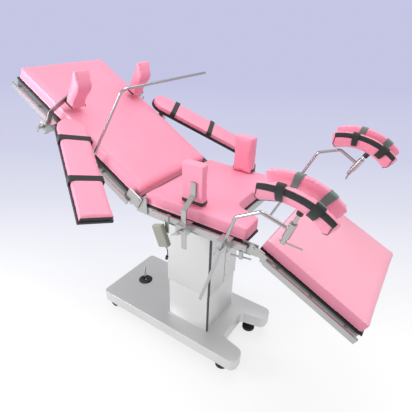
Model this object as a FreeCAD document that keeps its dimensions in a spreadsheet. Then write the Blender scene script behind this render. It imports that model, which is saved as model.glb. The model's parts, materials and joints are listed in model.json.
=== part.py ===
import FreeCAD, Part
import Sketcher
import math
import os
import re

Vector = FreeCAD.Vector
Rotation = FreeCAD.Rotation
Placement = FreeCAD.Placement

# Obstetric delivery table, in millimetres and degrees.
# X runs towards the foot end, Y to the far side, Z up; the origin is on the floor under the column.
# The back section, the leg section and the accessories stand as they are used, with the back raised.

sizes = {
    # Base
    "base_top": 140,
    "shroud_drop": 67,
    "base_head_reach": 568,
    "base_foot_reach": 345,
    "base_half_width": 219,
    "head_corner": 22,
    "foot_tip_round": 38,
    "slot_reach": 135,
    "slot_root_half": 100,
    "slot_mouth_half": 128,
    "slot_round": 26,
    "skin": 2.5,
    "mast_clear": 1,
    "beam_half": 25,
    "beam_off": 165,
    "beam_head_gap": 25,
    "beam_foot_gap": 22,
    "prop": 24,
    "prop_head_gap": 50,
    "prop_foot_gap": 70,
    "cross_wide": 50,
    "cross_head_gap": 40,
    "column_cross_half": 110,
    "beam_bottom": 58,
    "beam_depth": 42,
    "foot_x": 242,
    "foot_y": 153,
    "foot_radius": 36,
    "foot_height": 26,
    "foot_stem": 10,
    "foot_cone": 10,
    "foot_cone_step": 8,
    "castor_in": 35,
    "castor_y": 172,
    "castor_radius": 27,
    "castor_width": 22,
    "castor_fork": 5,
    "castor_fork_gap": 1,
    "castor_fork_half": 16,
    "castor_fork_low": 11,
    "axle_radius": 5,
    "running_gap": 0.05,
    "lever_in": 140,
    "gaiter_radius": 43,
    "gaiter_rise": 9,
    "gaiter_taper": 12,
    "gaiter_hole": 16,
    "lever_hole_step": 4,
    "lever_radius": 5,
    "lever_rise": 92,
    "lever_knob_step": 3,
    "lever_pin": 4,
    "lever_pin_half": 24,
    "lever_pin_drop": 22,
    "lever_tail": 12,
    "lever_lug": 6,
    "lever_lug_half": 11,
    "lever_lug_drop": 12,
    # Column and lift
    "column_half_x": 130,
    "column_half_y": 135,
    "cover_step": 4.5,
    "cover_seam": 388,
    "table_top": 951,
    "tilt_drop": 141,
    "tilt_height": "=table_top - tilt_drop",
    "cover_drop": 46,
    "cover_top": "=tilt_height - cover_drop",
    "cover_lap": 60,
    "flange": 10,
    "mast_half": 60,
    "mast_wall": 6,
    "mast_gap": 0.5,
    "lower_mast_top": 440,
    "upper_mast_foot": 345,
    "mast_drop": 34,
    "mast_head": "=tilt_height - mast_drop",
    "ram_radius": 30,
    "ram_rod": 15,
    "ram_top": 420,
    "ram_rod_foot": 345,
    "ram_floor": 6,
    "yoke_plate": 8,
    "yoke_plate_x": 75,
    "yoke_plate_y": 100,
    "yoke_cheek_y": 72,
    "cheek": 12,
    "cheek_half": 24,
    "tilt_pin": 12,
    "tilt_lug_wall": 6,
    # Lying surface
    "half_width": 260,
    "fold_gap": 12,
    "seat_foot": 360,
    "seat_thick": 58,
    "board_thick": 8,
    "frame_depth": 40,
    "frame_step": 2,
    "frame_head_gap": 6,
    "frame_foot_reach": 25,
    "pan_gap": 5,
    "board_step": 1,
    "board_fold_gap": 4,
    "rail_beam": 25,
    "pan": 3,
    "cushion_round": 12,
    "fold_round": 24,
    "cut_root": 240,
    "cut_root_half": 100,
    "cut_mouth_half": 152,
    "cut_round": 45,
    # Hinges of the back and the leg section
    "hinge_pin": 8,
    "ear": 6,
    "ear_sink": 1,
    "ear_gap": 1.5,
    "ear_rise": 15,
    "pin_proud": 2,
    "back_ear_head": 20,
    "back_ear_foot": 40,
    "back_ear_drop": 35,
    "leg_ear_head": 48,
    "leg_ear_foot": 16,
    "leg_ear_drop": 30,
    "back_arm_head": 66,
    "arm_nose": 14,
    "back_arm_drop": 16,
    "back_arm_foot": 20,
    "back_arm_low": 34,
    "leg_arm_foot": 84,
    "leg_arm_root": 48,
    "leg_arm_low": 38,
    "leg_arm_high": 4,
    "back_hinge_x": 168.3,
    "back_hinge_drop": 38,
    "back_hinge_z": "=table_top - back_hinge_drop",
    "back_rest": 30.25,
    "back_length": 880,
    "back_thick": 60,
    "back_frame_gap": 12,
    "back_frame_end": 30,
    "leg_hinge_x": 398,
    "leg_hinge_drop": 61,
    "leg_hinge_z": "=table_top - leg_hinge_drop",
    "leg_rest": 25.7,
    "leg_start": 13.7,
    "leg_length": 458,
    "leg_thick": 48,
    "leg_board_gap": 5,
    "leg_frame_gap": 31,
    "leg_frame_end": 10,
    "leg_board_thick": 6,
    # Side rails
    "rail_off": 28,
    "rail_out": "=half_width + rail_off",
    "rail_thick": 10,
    "rail_height": 25,
    "spacer_radius": 6,
    "seat_rail_drop": 68,
    "back_rail_drop": 93,
    "leg_rail_drop": 68,
    "seat_rail_head": 85,
    "seat_rail_foot": 376,
    "seat_spacer_head": 13,
    "seat_spacer_foot": 6,
    "back_rail_gap": 4,
    "back_rail_foot": 40,
    "back_spacer_gap": 26,
    "back_spacer_foot": 6,
    "leg_rail_head": 62,
    "leg_rail_gap": 6,
    "leg_spacer_gap": 50,
    "spacer_count": 4,
    # Clamps and their T handles
    "clamp_proud": 40,
    "clamp_out": "=rail_out + clamp_proud",
    "clamp_hold": 16,
    "clamp_in": "=rail_out - clamp_hold",
    "clamp_half": 24,
    "clamp_rise": 22,
    "rail_fit": 0.2,
    "slot_over": 30,
    "lip_half": 9,
    "post_off": 20,
    "post_y": "=rail_out + post_off",
    "stud_radius": 5,
    "stud_length": 16,
    "stud_end": 0.5,
    "hub_radius": 9,
    "hub_length": 27,
    "hub_crown": 6,
    "lock_x": 356,
    "lock_stud": 4.5,
    "lock_hub": 38,
    "turn_hip": 35,
    "turn_shoulder": 80,
    "turn_holder": 60,
    "turn_knuckle_near": -22,
    "turn_knuckle_far": 90,
    "turn_lock": -12,
    "bar_slide": 27,
    "handle_bar": 3.5,
    "handle_half": 34,
    "long_handle_half": 41,
    "slide_fit": 0.1,
    # Hip supports
    "hip_x": 90,
    "hip_bar_x": 101,
    "hip_half": 54,
    "hip_edge": 24,
    "hip_outer": "=half_width - hip_edge",
    "hip_thick": 48,
    "hip_inner": "=hip_outer - hip_thick",
    "hip_pad_gap": 6,
    "hip_foot": "=table_top + hip_pad_gap",
    "hip_rise": 182,
    "hip_round": 14,
    "hip_bar_wide": 24,
    "hip_bar_thick": 6,
    "hip_bar_drop": 171,
    "hip_bar_foot": "=table_top - hip_bar_drop",
    "hip_jog_start": 13,
    "hip_jog_low": "=table_top + hip_jog_start",
    "hip_jog_end": 53,
    "hip_jog_high": "=table_top + hip_jog_end",
    "hip_bar_rise": 111,
    "hip_bar_top": "=table_top + hip_bar_rise",
    "hip_bar_off": 15,
    "hip_bar_y": "=rail_out + hip_bar_off",
    # Shoulder supports, in the back section's own frame
    "shoulder_x": 517,
    "shoulder_thick": 62,
    "shoulder_edge": 20,
    "shoulder_outer": "=half_width - shoulder_edge",
    "shoulder_long": 80,
    "shoulder_inner": "=shoulder_outer - shoulder_long",
    "shoulder_foot": 66,
    "shoulder_rise": 184,
    "shoulder_front_rise": 139,
    "shoulder_low_rise": 58,
    "shoulder_high_rise": 108,
    "shoulder_foot_lean": 4,
    "shoulder_hollow": 9,
    "shoulder_lip": 6,
    "shoulder_crown": 15,
    "shoulder_bar_thick": 6,
    "shoulder_bar_wide": 24,
    "shoulder_bar_off": 15,
    "shoulder_bar_y": "=rail_out + shoulder_bar_off",
    "shoulder_bar_foot": -108,
    "shoulder_bar_knee": 24,
    "shoulder_bar_end": 112,
    "shoulder_bar_in": 35,
    "shoulder_bar_reach": "=shoulder_outer - shoulder_bar_in",
    # Anaesthesia screen rod, in the back section's own frame
    "screen_x": 287,
    "screen_off": 12,
    "screen_y": "=rail_out + screen_off",
    "screen_lean": 3.75,
    "screen_radius": 6,
    "screen_foot": 55,
    "screen_rise": 455,
    "screen_arm": 560,
    "screen_bend": 26,
    # Arm boards, in the back section's own frame
    "arm_swing": 27.5,
    "arm_length": 560,
    "arm_width": 138,
    "arm_top": 75,
    "arm_board_thick": 12,
    "arm_pad_thick": 24,
    "arm_pad_step": 2,
    "arm_end_x": 17,
    "arm_end_off": 258,
    "arm_end_y": "=rail_out + arm_end_off",
    "arm_pivot": 80,
    "arm_pin": 10,
    "arm_collar": 22,
    "arm_collar_gap": 0.3,
    "arm_bracket": 12,
    "arm_bracket_half": 20,
    "arm_bracket_off": 12,
    "arm_bracket_in": "=rail_out + arm_bracket_off",
    # Leg holders
    "holder_x_near": 291,
    "holder_x_far": 315,
    "holder_lean_near": 16.7,
    "holder_lean_far": 25,
    "holder_up_near": 141,
    "holder_up_far": 239,
    "holder_below_near": 341,
    "holder_below_far": 219,
    "holder_swing": 4,
    "holder_radius": 7,
    "holder_turn_one_near": 43,
    "holder_turn_one_far": 46,
    "holder_turn_two_near": 43,
    "holder_turn_two_far": 50,
    "holder_run_one_near": 112,
    "holder_run_one_far": 98,
    "holder_run_two_near": 98,
    "holder_run_two_far": 83,
    "holder_bend": 22,
    "knuckle_offset": 15,
    "knuckle_radius": 13,
    "knuckle_low": 34,
    "knuckle_high": 28,
    "post_lean_near": 17.5,
    "post_lean_far": 28,
    "post_sink": 19.5,
    "socket_floor": 0.5,
    "post_radius": 7,
    "post_top_near": 67,
    "post_top_far": 45,
    "knob_radius": 11,
    "knob_height": 22,
    # Leg troughs
    "trough_pitch_near": 4,
    "trough_pitch_far": -5.5,
    "trough_turn_near": 8,
    "trough_turn_far": 0,
    "trough_back_near": 7,
    "trough_back_far": 9,
    "trough_chord": 298,
    "trough_end_round": 95,
    "trough_arch": 260,
    "trough_depth": 56,
    "trough_inner_half": 38,
    "trough_thick": 24,
    "knob_sink": 1,
    # Pendant
    "pendant_x": -18,
    "pendant_drop": 149,
    "pendant_z": "=table_top - pendant_drop",
    "pendant_wide": 58,
    "pendant_high": 104,
    "pendant_thick": 24,
    "pendant_tilt": -21,
    "pendant_off": 17,
    "pendant_y": "=rail_out + pendant_off",
    "pendant_round": 5,
    "gland_x": 6,
    "gland_radius": 5,
    "gland_length": 7,
    "hook_head": 6,
    "hook_foot": 12,
    "hook_low": 16,
    "hook_thick": 3,
    "hook_gap": 0.5,
    "hook_lip": 6,
    "cable_radius": 2,
    "cable_bend": 14,
    "lead_straight": 12,
    "lead_sway": 1,
    "lead_drop": 17,
    "lead_back": 5,
    "lead_end_drop": 19,
    "plug_radius": 6.5,
    "plug_length": 18,
}

doc = FreeCAD.newDocument("delivery_table")
sheet = doc.addObject("Spreadsheet::Sheet", "dims")
for row, (alias, size) in enumerate(sizes.items(), start=1):
    sheet.set(f"A{row}", alias)
    sheet.set(f"B{row}", str(size))
    sheet.setAlias(f"B{row}", alias)
doc.recompute()

nodes = {}
NEAR = -1
FAR = 1
SIDES = {"near": NEAR, "far": FAR}
TURN = {
    "x": Rotation(Vector(0, 1, 0), 90),
    "y": Rotation(Vector(1, 0, 0), -90),
    "z": Rotation(),
}


def v(alias):
    """The value of one size."""
    return float(sheet.get(alias))


def formula(text):
    """A formula of sizes, with the sheet's name put before each size."""
    words = re.compile(r"[A-Za-z_][A-Za-z_0-9]*")
    return words.sub(lambda word: "dims." + word.group() if word.group() in sizes else word.group(), text)


def bind(item, prop, text):
    item.setExpression(prop, formula(text))


def across(side, inner, outer):
    """The low and high Y between two distances from the middle, on one side."""
    if side == FAR:
        return inner, outer
    return f"-({outer})", f"-({inner})"


def block(name, x0, x1, y0, y1, z0, z1):
    """A box between six faces."""
    box = doc.addObject("Part::Box", name)
    for prop, low, high in (("Length", x0, x1), ("Width", y0, y1), ("Height", z0, z1)):
        bind(box, prop, f"({high}) - ({low})")
    for axis, low in (("x", x0), ("y", y0), ("z", z0)):
        bind(box, f"Placement.Base.{axis}", low)
    return box


def rod(name, radius, x, y, z, length, axis="z"):
    """A round bar that starts at a point and runs along one axis."""
    bar = doc.addObject("Part::Cylinder", name)
    bar.Placement = Placement(Vector(), TURN[axis])
    bind(bar, "Radius", radius)
    bind(bar, "Height", length)
    for letter, start in (("x", x), ("y", y), ("z", z)):
        bind(bar, f"Placement.Base.{letter}", start)
    return bar


def joined(name, pieces):
    """Several pieces as one, or one piece as it is."""
    if len(pieces) == 1:
        return pieces[0]
    whole = doc.addObject("Part::MultiFuse", name)
    whole.Shapes = pieces
    return whole


def carved(name, base, tools):
    """A piece with other pieces taken out of it."""
    cut = doc.addObject("Part::Cut", name)
    cut.Base = base
    cut.Tool = joined(name + "_tools", tools)
    return cut


def made(name, shape, frame=None):
    """A piece whose shape is worked out from the sizes."""
    piece = doc.addObject("Part::Feature", name)
    piece.Shape = shape
    if frame:
        piece.Placement = frame
    return piece


def node(label, pieces, frame=None):
    """The pieces of one sub-part, in the frame of the section that carries it."""
    group = doc.addObject("Part::Compound", label + "_node")
    group.Links = pieces
    group.Label = label
    if frame:
        group.Placement = frame
    nodes[label] = group
    return group


def plate(name, corners, height, start):
    """A body with a flat outline through the corners, padded upwards from a height."""
    body = doc.addObject("PartDesign::Body", name)
    sketch = body.newObject("Sketcher::SketchObject", name + "_outline")
    sketch.AttachmentSupport = [(next(p for p in body.Origin.OriginFeatures if p.Role == "XY_Plane"), "")]
    sketch.MapMode = "FlatFace"
    bind(sketch, "AttachmentOffset.Base.z", start)
    count = len(corners)
    turns = [2 * math.pi * i / count for i in range(count)]
    ring = [Vector(math.cos(turn), math.sin(turn), 0) for turn in turns]
    for i in range(count):
        sketch.addGeometry(Part.LineSegment(ring[i], ring[(i + 1) % count]), False)
    for i in range(count):
        sketch.addConstraint(Sketcher.Constraint("Coincident", i, 2, (i + 1) % count, 1))
    for i, corner in enumerate(corners):
        for kind, guess, place in zip(("DistanceX", "DistanceY"), ring[i], corner):
            index = sketch.addConstraint(Sketcher.Constraint(kind, -1, 1, i, 1, guess))
            bind(sketch, f"Constraints[{index}]", place)
    pad = body.newObject("PartDesign::Pad", name + "_pad")
    pad.Profile = sketch
    bind(pad, "Length", height)
    doc.recompute()
    return body


def rounded(body, radius, chosen):
    """Rounds the edges of a body that the test picks out."""
    base = body.Tip
    names = [f"Edge{i}" for i, edge in enumerate(base.Shape.Edges, start=1) if chosen(edge)]
    fillet = body.newObject("PartDesign::Fillet", f"{body.Name}_round_{len(body.Group)}")
    fillet.Base = (base, names)
    bind(fillet, "Radius", radius)
    doc.recompute()
    return body


def upright(edge):
    return abs(edge.tangentAt(edge.FirstParameter).z) > 0.999


def at_level(edge, level):
    box = edge.BoundBox
    return abs(box.ZMin - level) < 0.01 and abs(box.ZMax - level) < 0.01


def mitred(points, width):
    """The outline of a flat bar of one width along a path of points in a plane."""
    left = []
    right = []
    for i, point in enumerate(points):
        before = points[max(i - 1, 0)]
        after = points[min(i + 1, len(points) - 1)]
        ahead = Vector(after[0] - point[0], after[1] - point[1], 0)
        behind = Vector(point[0] - before[0], point[1] - before[1], 0)
        ahead = (ahead if ahead.Length > 0 else Vector(behind)).normalize()
        behind = (behind if behind.Length > 0 else Vector(ahead)).normalize()
        along = (ahead + behind).normalize()
        reach = width / 2 / along.dot(ahead)
        left.append((point[0] - along.y * reach, point[1] + along.x * reach))
        right.append((point[0] + along.y * reach, point[1] - along.x * reach))
    return left + right[::-1]


def flat_bar(points, width, thick, side):
    """A flat bar bent along points given as distance outwards and height, its face across X."""
    outline = [Vector(0, side * out, up) for out, up in mitred(points, width)]
    face = Part.Face(Part.makePolygon(outline + outline[:1]))
    return face.extrude(Vector(thick, 0, 0))


def round_path(points, bend):
    """Straight runs through the points, with a tangent arc at each turn."""
    edges = []
    start = points[0]
    for i in range(1, len(points) - 1):
        back = (points[i - 1] - points[i]).normalize()
        ahead = (points[i + 1] - points[i]).normalize()
        half = back.getAngle(ahead) / 2
        reach = bend / math.tan(half)
        first = points[i] + back * reach
        last = points[i] + ahead * reach
        middle_way = (back + ahead).normalize()
        middle = points[i] + middle_way * (bend / math.sin(half) - bend)
        edges.append(Part.makeLine(start, first))
        edges.append(Part.Arc(first, middle, last).toShape())
        start = last
    edges.append(Part.makeLine(start, points[-1]))
    return Part.Wire(edges)


def bent_bar(points, radius, bend):
    """A round bar along a path."""
    path = round_path(points, bend)
    direction = (points[1] - points[0]).normalize()
    ring = Part.Wire(Part.makeCircle(radius, points[0], direction))
    return path.makePipeShell([ring], True, True)


def about_y(x, z, angle):
    """The frame of a section that turns about a hinge across the table."""
    return Placement(Vector(x, 0, z), Rotation(Vector(0, 1, 0), angle))


def about_z(angle):
    return Placement(Vector(), Rotation(Vector(0, 0, 1), angle))


BACK = about_y(-v("back_hinge_x"), v("back_hinge_z"), v("back_rest"))
LEG = about_y(v("leg_hinge_x"), v("leg_hinge_z"), v("leg_rest"))


CASTOR_X = "(castor_in - base_head_reach)"
LEVER_X = "(lever_in - base_head_reach)"


# Base
def fork_outline(name, inset, height, start):
    """The base seen from above: square at the head, two legs with a tapered slot at the foot."""
    head = f"-base_head_reach + {inset}"
    foot = f"base_foot_reach - {inset}"
    side = f"base_half_width - {inset}"
    root = f"base_foot_reach - slot_reach - {inset}"
    root_half = f"slot_root_half + {inset}"
    mouth = f"slot_mouth_half + {inset}"
    corners = [
        (head, f"-({side})"), (foot, f"-({side})"), (foot, f"-({mouth})"), (root, f"-({root_half})"),
        (root, root_half), (foot, mouth), (foot, side), (head, side),
    ]
    body = plate(name, corners, height, start)
    gap = 0 if inset == "0" else v(inset)
    rounded(body, f"head_corner - {inset}", lambda e: upright(e) and e.CenterOfMass.x < 0)
    tip = v("base_foot_reach") - gap
    rounded(body, f"foot_tip_round - {inset}", lambda e: upright(e) and abs(e.CenterOfMass.x - tip) < 1)
    bottom = tip - v("slot_reach")
    rounded(body, f"slot_round + {inset}", lambda e: upright(e) and abs(e.CenterOfMass.x - bottom) < 1)
    return body


def build_base():
    outer = fork_outline("shroud_outer", "0", "shroud_drop", "base_top - shroud_drop")
    inner = fork_outline("shroud_inner", "skin", "shroud_drop - skin", "base_top - shroud_drop")
    half = "mast_half + mast_clear"
    mast_hole = block("mast_hole", f"-({half})", half, f"-({half})", half,
                      "base_top - 2 * skin", "base_top + skin")
    lever_hole = rod("lever_hole", "gaiter_hole + lever_hole_step", LEVER_X, "0", "base_top - 2 * skin",
                     "3 * skin")
    node("base_shroud", [carved("shroud", outer, [inner, mast_hole, lever_hole])])

    top = "beam_bottom + beam_depth"
    pieces = []
    for label, side in SIDES.items():
        low, high = across(side, "beam_off - beam_half", "beam_off + beam_half")
        pieces.append(block(f"beam_{label}", "-base_head_reach + beam_head_gap",
                            "base_foot_reach - beam_foot_gap", low, high, "beam_bottom", top))
        for i, x in enumerate(("-base_head_reach + prop_head_gap", "base_foot_reach - prop_foot_gap")):
            low, high = across(side, "beam_off - prop / 2", "beam_off + prop / 2")
            pieces.append(block(f"prop_{label}_{i}", x, f"{x} + prop", low, high, top, "base_top - skin"))
        reach = "castor_width / 2 + castor_fork_gap"
        for i, offset in enumerate((f"-({reach}) - castor_fork", reach)):
            y = f"{side} * castor_y + {offset}"
            pieces.append(block(f"fork_{label}_{i}", f"{CASTOR_X} - castor_fork_half",
                                f"{CASTOR_X} + castor_fork_half", y, f"{y} + castor_fork",
                                "castor_radius - castor_fork_low", "beam_bottom"))
        pieces.append(rod(f"axle_{label}", "axle_radius", CASTOR_X,
                          f"{side} * castor_y - ({reach}) - castor_fork", "castor_radius",
                          f"2 * ({reach} + castor_fork)", "y"))
        pieces.append(rod(f"foot_stem_{label}", "foot_stem", "foot_x", f"{side} * foot_y", "foot_height",
                          "beam_bottom - foot_height"))
    half = "beam_off - beam_half"
    for i, (x0, x1) in enumerate((
            ("-base_head_reach + cross_head_gap", "-base_head_reach + cross_head_gap + cross_wide"),
            (f"{LEVER_X} - cross_wide / 2", f"{LEVER_X} + cross_wide / 2"),
            ("-column_cross_half", "column_cross_half"))):
        pieces.append(block(f"cross_{i}", x0, x1, f"-({half})", half, "beam_bottom", top))
    mast = block("lower_mast", "-mast_half", "mast_half", "-mast_half", "mast_half", top, "lower_mast_top")
    bore = "mast_half - mast_wall"
    hollow = block("lower_mast_bore", f"-({bore})", bore, f"-({bore})", bore, top, "lower_mast_top + skin")
    pieces.append(carved("lower_mast_tube", mast, [hollow]))
    for i, y in enumerate(("-lever_pin_half", "lever_pin_half - lever_lug")):
        pieces.append(block(f"lug_{i}", f"{LEVER_X} - lever_lug_half", f"{LEVER_X} + lever_lug_half", y,
                            f"{y} + lever_lug", top, "base_top - lever_lug_drop"))
    pin_hole = rod("lever_pin_hole", "lever_pin + running_gap", LEVER_X, "-lever_pin_half - lever_lug",
                   "base_top - lever_pin_drop", "2 * (lever_pin_half + lever_lug)", "y")
    node("base_frame", [carved("base_frame_cut", joined("base_frame_whole", pieces), [pin_hole])])

    discs = []
    for label, side in SIDES.items():
        discs.append(rod(f"foot_disc_{label}", "foot_radius", "foot_x", f"{side} * foot_y", "0",
                         "foot_height - foot_cone"))
        collar = doc.addObject("Part::Cone", f"foot_collar_{label}")
        bind(collar, "Radius1", "foot_radius")
        bind(collar, "Radius2", "foot_stem + foot_cone_step")
        bind(collar, "Height", "foot_cone")
        bind(collar, "Placement.Base.x", "foot_x")
        bind(collar, "Placement.Base.y", f"{side} * foot_y")
        bind(collar, "Placement.Base.z", "foot_height - foot_cone")
        discs.append(collar)
    node("rubber_feet", [joined("rubber_feet_whole", discs)])

    for label, side in SIDES.items():
        wheel = rod(f"wheel_{label}", "castor_radius", CASTOR_X, f"{side} * castor_y - castor_width / 2",
                    "castor_radius", "castor_width", "y")
        bore = rod(f"wheel_bore_{label}", "axle_radius + running_gap", CASTOR_X,
                   f"{side} * castor_y - castor_width", "castor_radius", "2 * castor_width", "y")
        node(f"castor_wheel_{label}", [carved(f"wheel_cut_{label}", wheel, [bore])])

    boot = doc.addObject("Part::Cone", "boot")
    bind(boot, "Radius1", "gaiter_radius")
    bind(boot, "Radius2", "gaiter_radius - gaiter_taper")
    bind(boot, "Height", "gaiter_rise")
    bind(boot, "Placement.Base.x", LEVER_X)
    bind(boot, "Placement.Base.z", "base_top")
    boot_hole = rod("boot_hole", "gaiter_hole", LEVER_X, "0", "base_top - skin", "gaiter_rise + 2 * skin")
    node("lever_gaiter", [carved("boot_cut", boot, [boot_hole])])

    stick = rod("lever_stick", "lever_radius", LEVER_X, "0", "base_top - lever_pin_drop - lever_tail",
                "lever_rise + lever_pin_drop + lever_tail")
    knob = doc.addObject("Part::Sphere", "lever_knob")
    bind(knob, "Radius", "lever_radius + lever_knob_step")
    bind(knob, "Placement.Base.x", LEVER_X)
    bind(knob, "Placement.Base.z", "base_top + lever_rise")
    pin = rod("lever_pin_bar", "lever_pin", LEVER_X, "-lever_pin_half", "base_top - lever_pin_drop",
              "2 * lever_pin_half", "y")
    node("brake_lever", [joined("brake_lever_whole", [stick, knob, pin])])


# Column: two covers that slide in each other, a mast inside them, a ram inside the mast
def box_tube(name, half_x, half_y, wall, low, high):
    whole = block(name + "_outer", f"-({half_x})", half_x, f"-({half_y})", half_y, low, high)
    inner_x = f"{half_x} - {wall}"
    inner_y = f"{half_y} - {wall}"
    hollow = block(name + "_inner", f"-({inner_x})", inner_x, f"-({inner_y})", inner_y,
                   f"{low} - {wall}", f"{high} + {wall}")
    return carved(name, whole, [hollow])


def build_column():
    lower_x = "column_half_x - cover_step"
    lower_y = "column_half_y - cover_step"
    lower = box_tube("lower_cover", lower_x, lower_y, "skin", "base_top", "cover_seam + cover_lap")
    flange = box_tube("cover_flange", f"{lower_x} + flange", f"{lower_y} + flange", "flange", "base_top",
                      "base_top + skin")
    node("column_lower_cover", [joined("lower_cover_whole", [lower, flange])])

    upper = box_tube("upper_cover", "column_half_x", "column_half_y", "skin", "cover_seam",
                     "cover_top - skin")
    lid = block("cover_lid", "-column_half_x", "column_half_x", "-column_half_y", "column_half_y",
                "cover_top - skin", "cover_top")
    mast_half = "mast_half - mast_wall - mast_gap"
    lid_hole = block("lid_hole", f"-({mast_half})", mast_half, f"-({mast_half})", mast_half,
                     "cover_top - 2 * skin", "cover_top + skin")
    node("column_upper_cover", [joined("upper_cover_whole", [upper, carved("lid", lid, [lid_hole])])])

    node("upper_mast", [box_tube("upper_mast_tube", mast_half, mast_half, "mast_wall",
                                 "upper_mast_foot", "mast_head")])

    ram = rod("ram_barrel", "ram_radius", "0", "0", "beam_bottom + beam_depth",
              "ram_top - beam_bottom - beam_depth")
    bore = rod("ram_bore", "ram_rod + running_gap", "0", "0", "beam_bottom + beam_depth + ram_floor",
               "ram_top")
    node("lift_ram", [carved("ram_cut", ram, [bore])])
    node("lift_rod", [rod("ram_rod_bar", "ram_rod", "0", "0", "ram_rod_foot", "mast_head - ram_rod_foot")])

    pieces = [block("yoke_plate_block", "-yoke_plate_x", "yoke_plate_x", "-yoke_plate_y", "yoke_plate_y",
                    "mast_head", "mast_head + yoke_plate")]
    for label, side in SIDES.items():
        low, high = across(side, "yoke_cheek_y", "yoke_cheek_y + cheek")
        pieces.append(block(f"cheek_{label}", "-cheek_half", "cheek_half", low, high,
                            "mast_head + yoke_plate", "tilt_height + cheek_half"))
    hole = rod("yoke_hole", "tilt_pin + running_gap", "0", "-yoke_plate_y", "tilt_height",
               "2 * yoke_plate_y", "y")
    node("tilt_yoke", [carved("yoke_cut", joined("yoke_whole", pieces), [hole])])


FRAME_SIDE = "(half_width + frame_step)"
ARM_IN = f"({FRAME_SIDE} + ear + ear_sink + ear_gap)"
SEAT_FRAME_TOP = "table_top - seat_thick - board_thick"
SEAT_RAIL = "(table_top - seat_rail_drop)"
BACK_TOP = "(table_top - back_hinge_z)"
BACK_FRAME_TOP = f"{BACK_TOP} - back_thick - board_thick"
BACK_RAIL = f"({BACK_TOP} - back_rail_drop)"
BACK_RAIL_Z = v("table_top") - v("back_hinge_z") - v("back_rail_drop")
LEG_TOP = "(table_top - leg_hinge_z)"
LEG_FRAME_TOP = f"{LEG_TOP} - leg_thick - leg_board_thick"
LEG_RAIL = f"({LEG_TOP} - leg_rail_drop)"


def spread(first, last, more=0):
    """Evenly spaced places between two, more or fewer than the usual count."""
    gaps = int(v("spacer_count")) + more - 1
    return [f"{first} + ({last} - ({first})) * {i} / {gaps}" for i in range(gaps + 1)]


# Lying surface: each section has a cushion, a board under it, a frame and two side rails
def cushion(name, x0, x1, low, high, fold_at):
    """A padded slab with round upright corners, a soft top edge and a rounder edge at the fold."""
    corners = [(x0, "-half_width"), (x1, "-half_width"), (x1, "half_width"), (x0, "half_width")]
    return finish_cushion(plate(name, corners, f"{high} - ({low})", low), fold_at)


def finish_cushion(body, fold_at):
    box = body.Shape.BoundBox
    ends = [x for x in (box.XMin, box.XMax) if fold_at is None or abs(x - fold_at) > 1]
    rounded(body, "cushion_round",
            lambda e: upright(e) and min(abs(e.CenterOfMass.x - x) for x in ends) < 0.1)
    top = body.Shape.BoundBox.ZMax
    if fold_at is not None:
        rounded(body, "fold_round", lambda e: at_level(e, top) and abs(e.CenterOfMass.x - fold_at) < 0.1)
    return body


def frame_pieces(name, x0, x1, top, pan_end=None):
    """Two side beams, an end bar at each end and a pan that closes the frame from below."""
    bottom = f"{top} - frame_depth"
    side = FRAME_SIDE
    pan_end = pan_end or x1
    pieces = [block(f"{name}_pan", x0, pan_end, f"-({side})", side, f"{bottom} - pan", bottom)]
    for label, direction in SIDES.items():
        low, high = across(direction, f"{side} - rail_beam", side)
        pieces.append(block(f"{name}_beam_{label}", x0, x1, low, high, bottom, top))
    inner = f"{side} - rail_beam"
    for i, (low, high) in enumerate(((x0, f"{x0} + rail_beam"), (f"{pan_end} - rail_beam", pan_end))):
        pieces.append(block(f"{name}_bar_{i}", low, high, f"-({inner})", inner, bottom, top))
    return pieces


def rail_pieces(name, x0, x1, centre, spacers):
    """The two side rails, each held off the frame by round spacers."""
    pieces = []
    for label, side in SIDES.items():
        low, high = across(side, "rail_out - rail_thick", "rail_out")
        rail = block(f"{name}_rail_{label}", x0, x1, low, high, f"{centre} - rail_height / 2",
                     f"{centre} + rail_height / 2")
        low, high = across(side, FRAME_SIDE, "rail_out - rail_thick")
        feet = [rod(f"{name}_spacer_{label}_{i}", "spacer_radius", x, low, centre, f"({high}) - ({low})", "y")
                for i, x in enumerate(spacers)]
        pieces.append(joined(f"{name}_rail_whole_{label}", [rail] + feet))
    return pieces


def hinge_ears(name, x0, x1, low, high, pin_x, pin_z):
    """The seat's side plates with the hinge pin of the section beside it."""
    pieces = []
    for label, side in SIDES.items():
        inner, outer = across(side, FRAME_SIDE, f"{FRAME_SIDE} + ear + ear_sink")
        pieces.append(block(f"{name}_ear_{label}", x0, x1, inner, outer, low, high))
        inner, outer = across(side, FRAME_SIDE, f"{ARM_IN} + ear + pin_proud")
        pieces.append(rod(f"{name}_pin_{label}", "hinge_pin", pin_x, inner, pin_z,
                          f"({outer}) - ({inner})", "y"))
    return pieces


def hinge_arms(name, pieces, x0, x1, low, high, foot0, foot1, foot_low, foot_high):
    """The moving section's plates outside the ears, drilled for the pins."""
    for label, side in SIDES.items():
        inner, outer = across(side, ARM_IN, f"{ARM_IN} + ear")
        pieces.append(block(f"{name}_arm_{label}", x0, x1, inner, outer, low, high))
        inner, outer = across(side, FRAME_SIDE, ARM_IN)
        pieces.append(block(f"{name}_arm_foot_{label}", foot0, foot1, inner, outer, foot_low, foot_high))
    hole = rod(f"{name}_pin_hole", "hinge_pin + running_gap", "0", "-rail_out", "0", "2 * rail_out", "y")
    return carved(f"{name}_frame_cut", joined(f"{name}_frame_whole", pieces), [hole])


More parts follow.
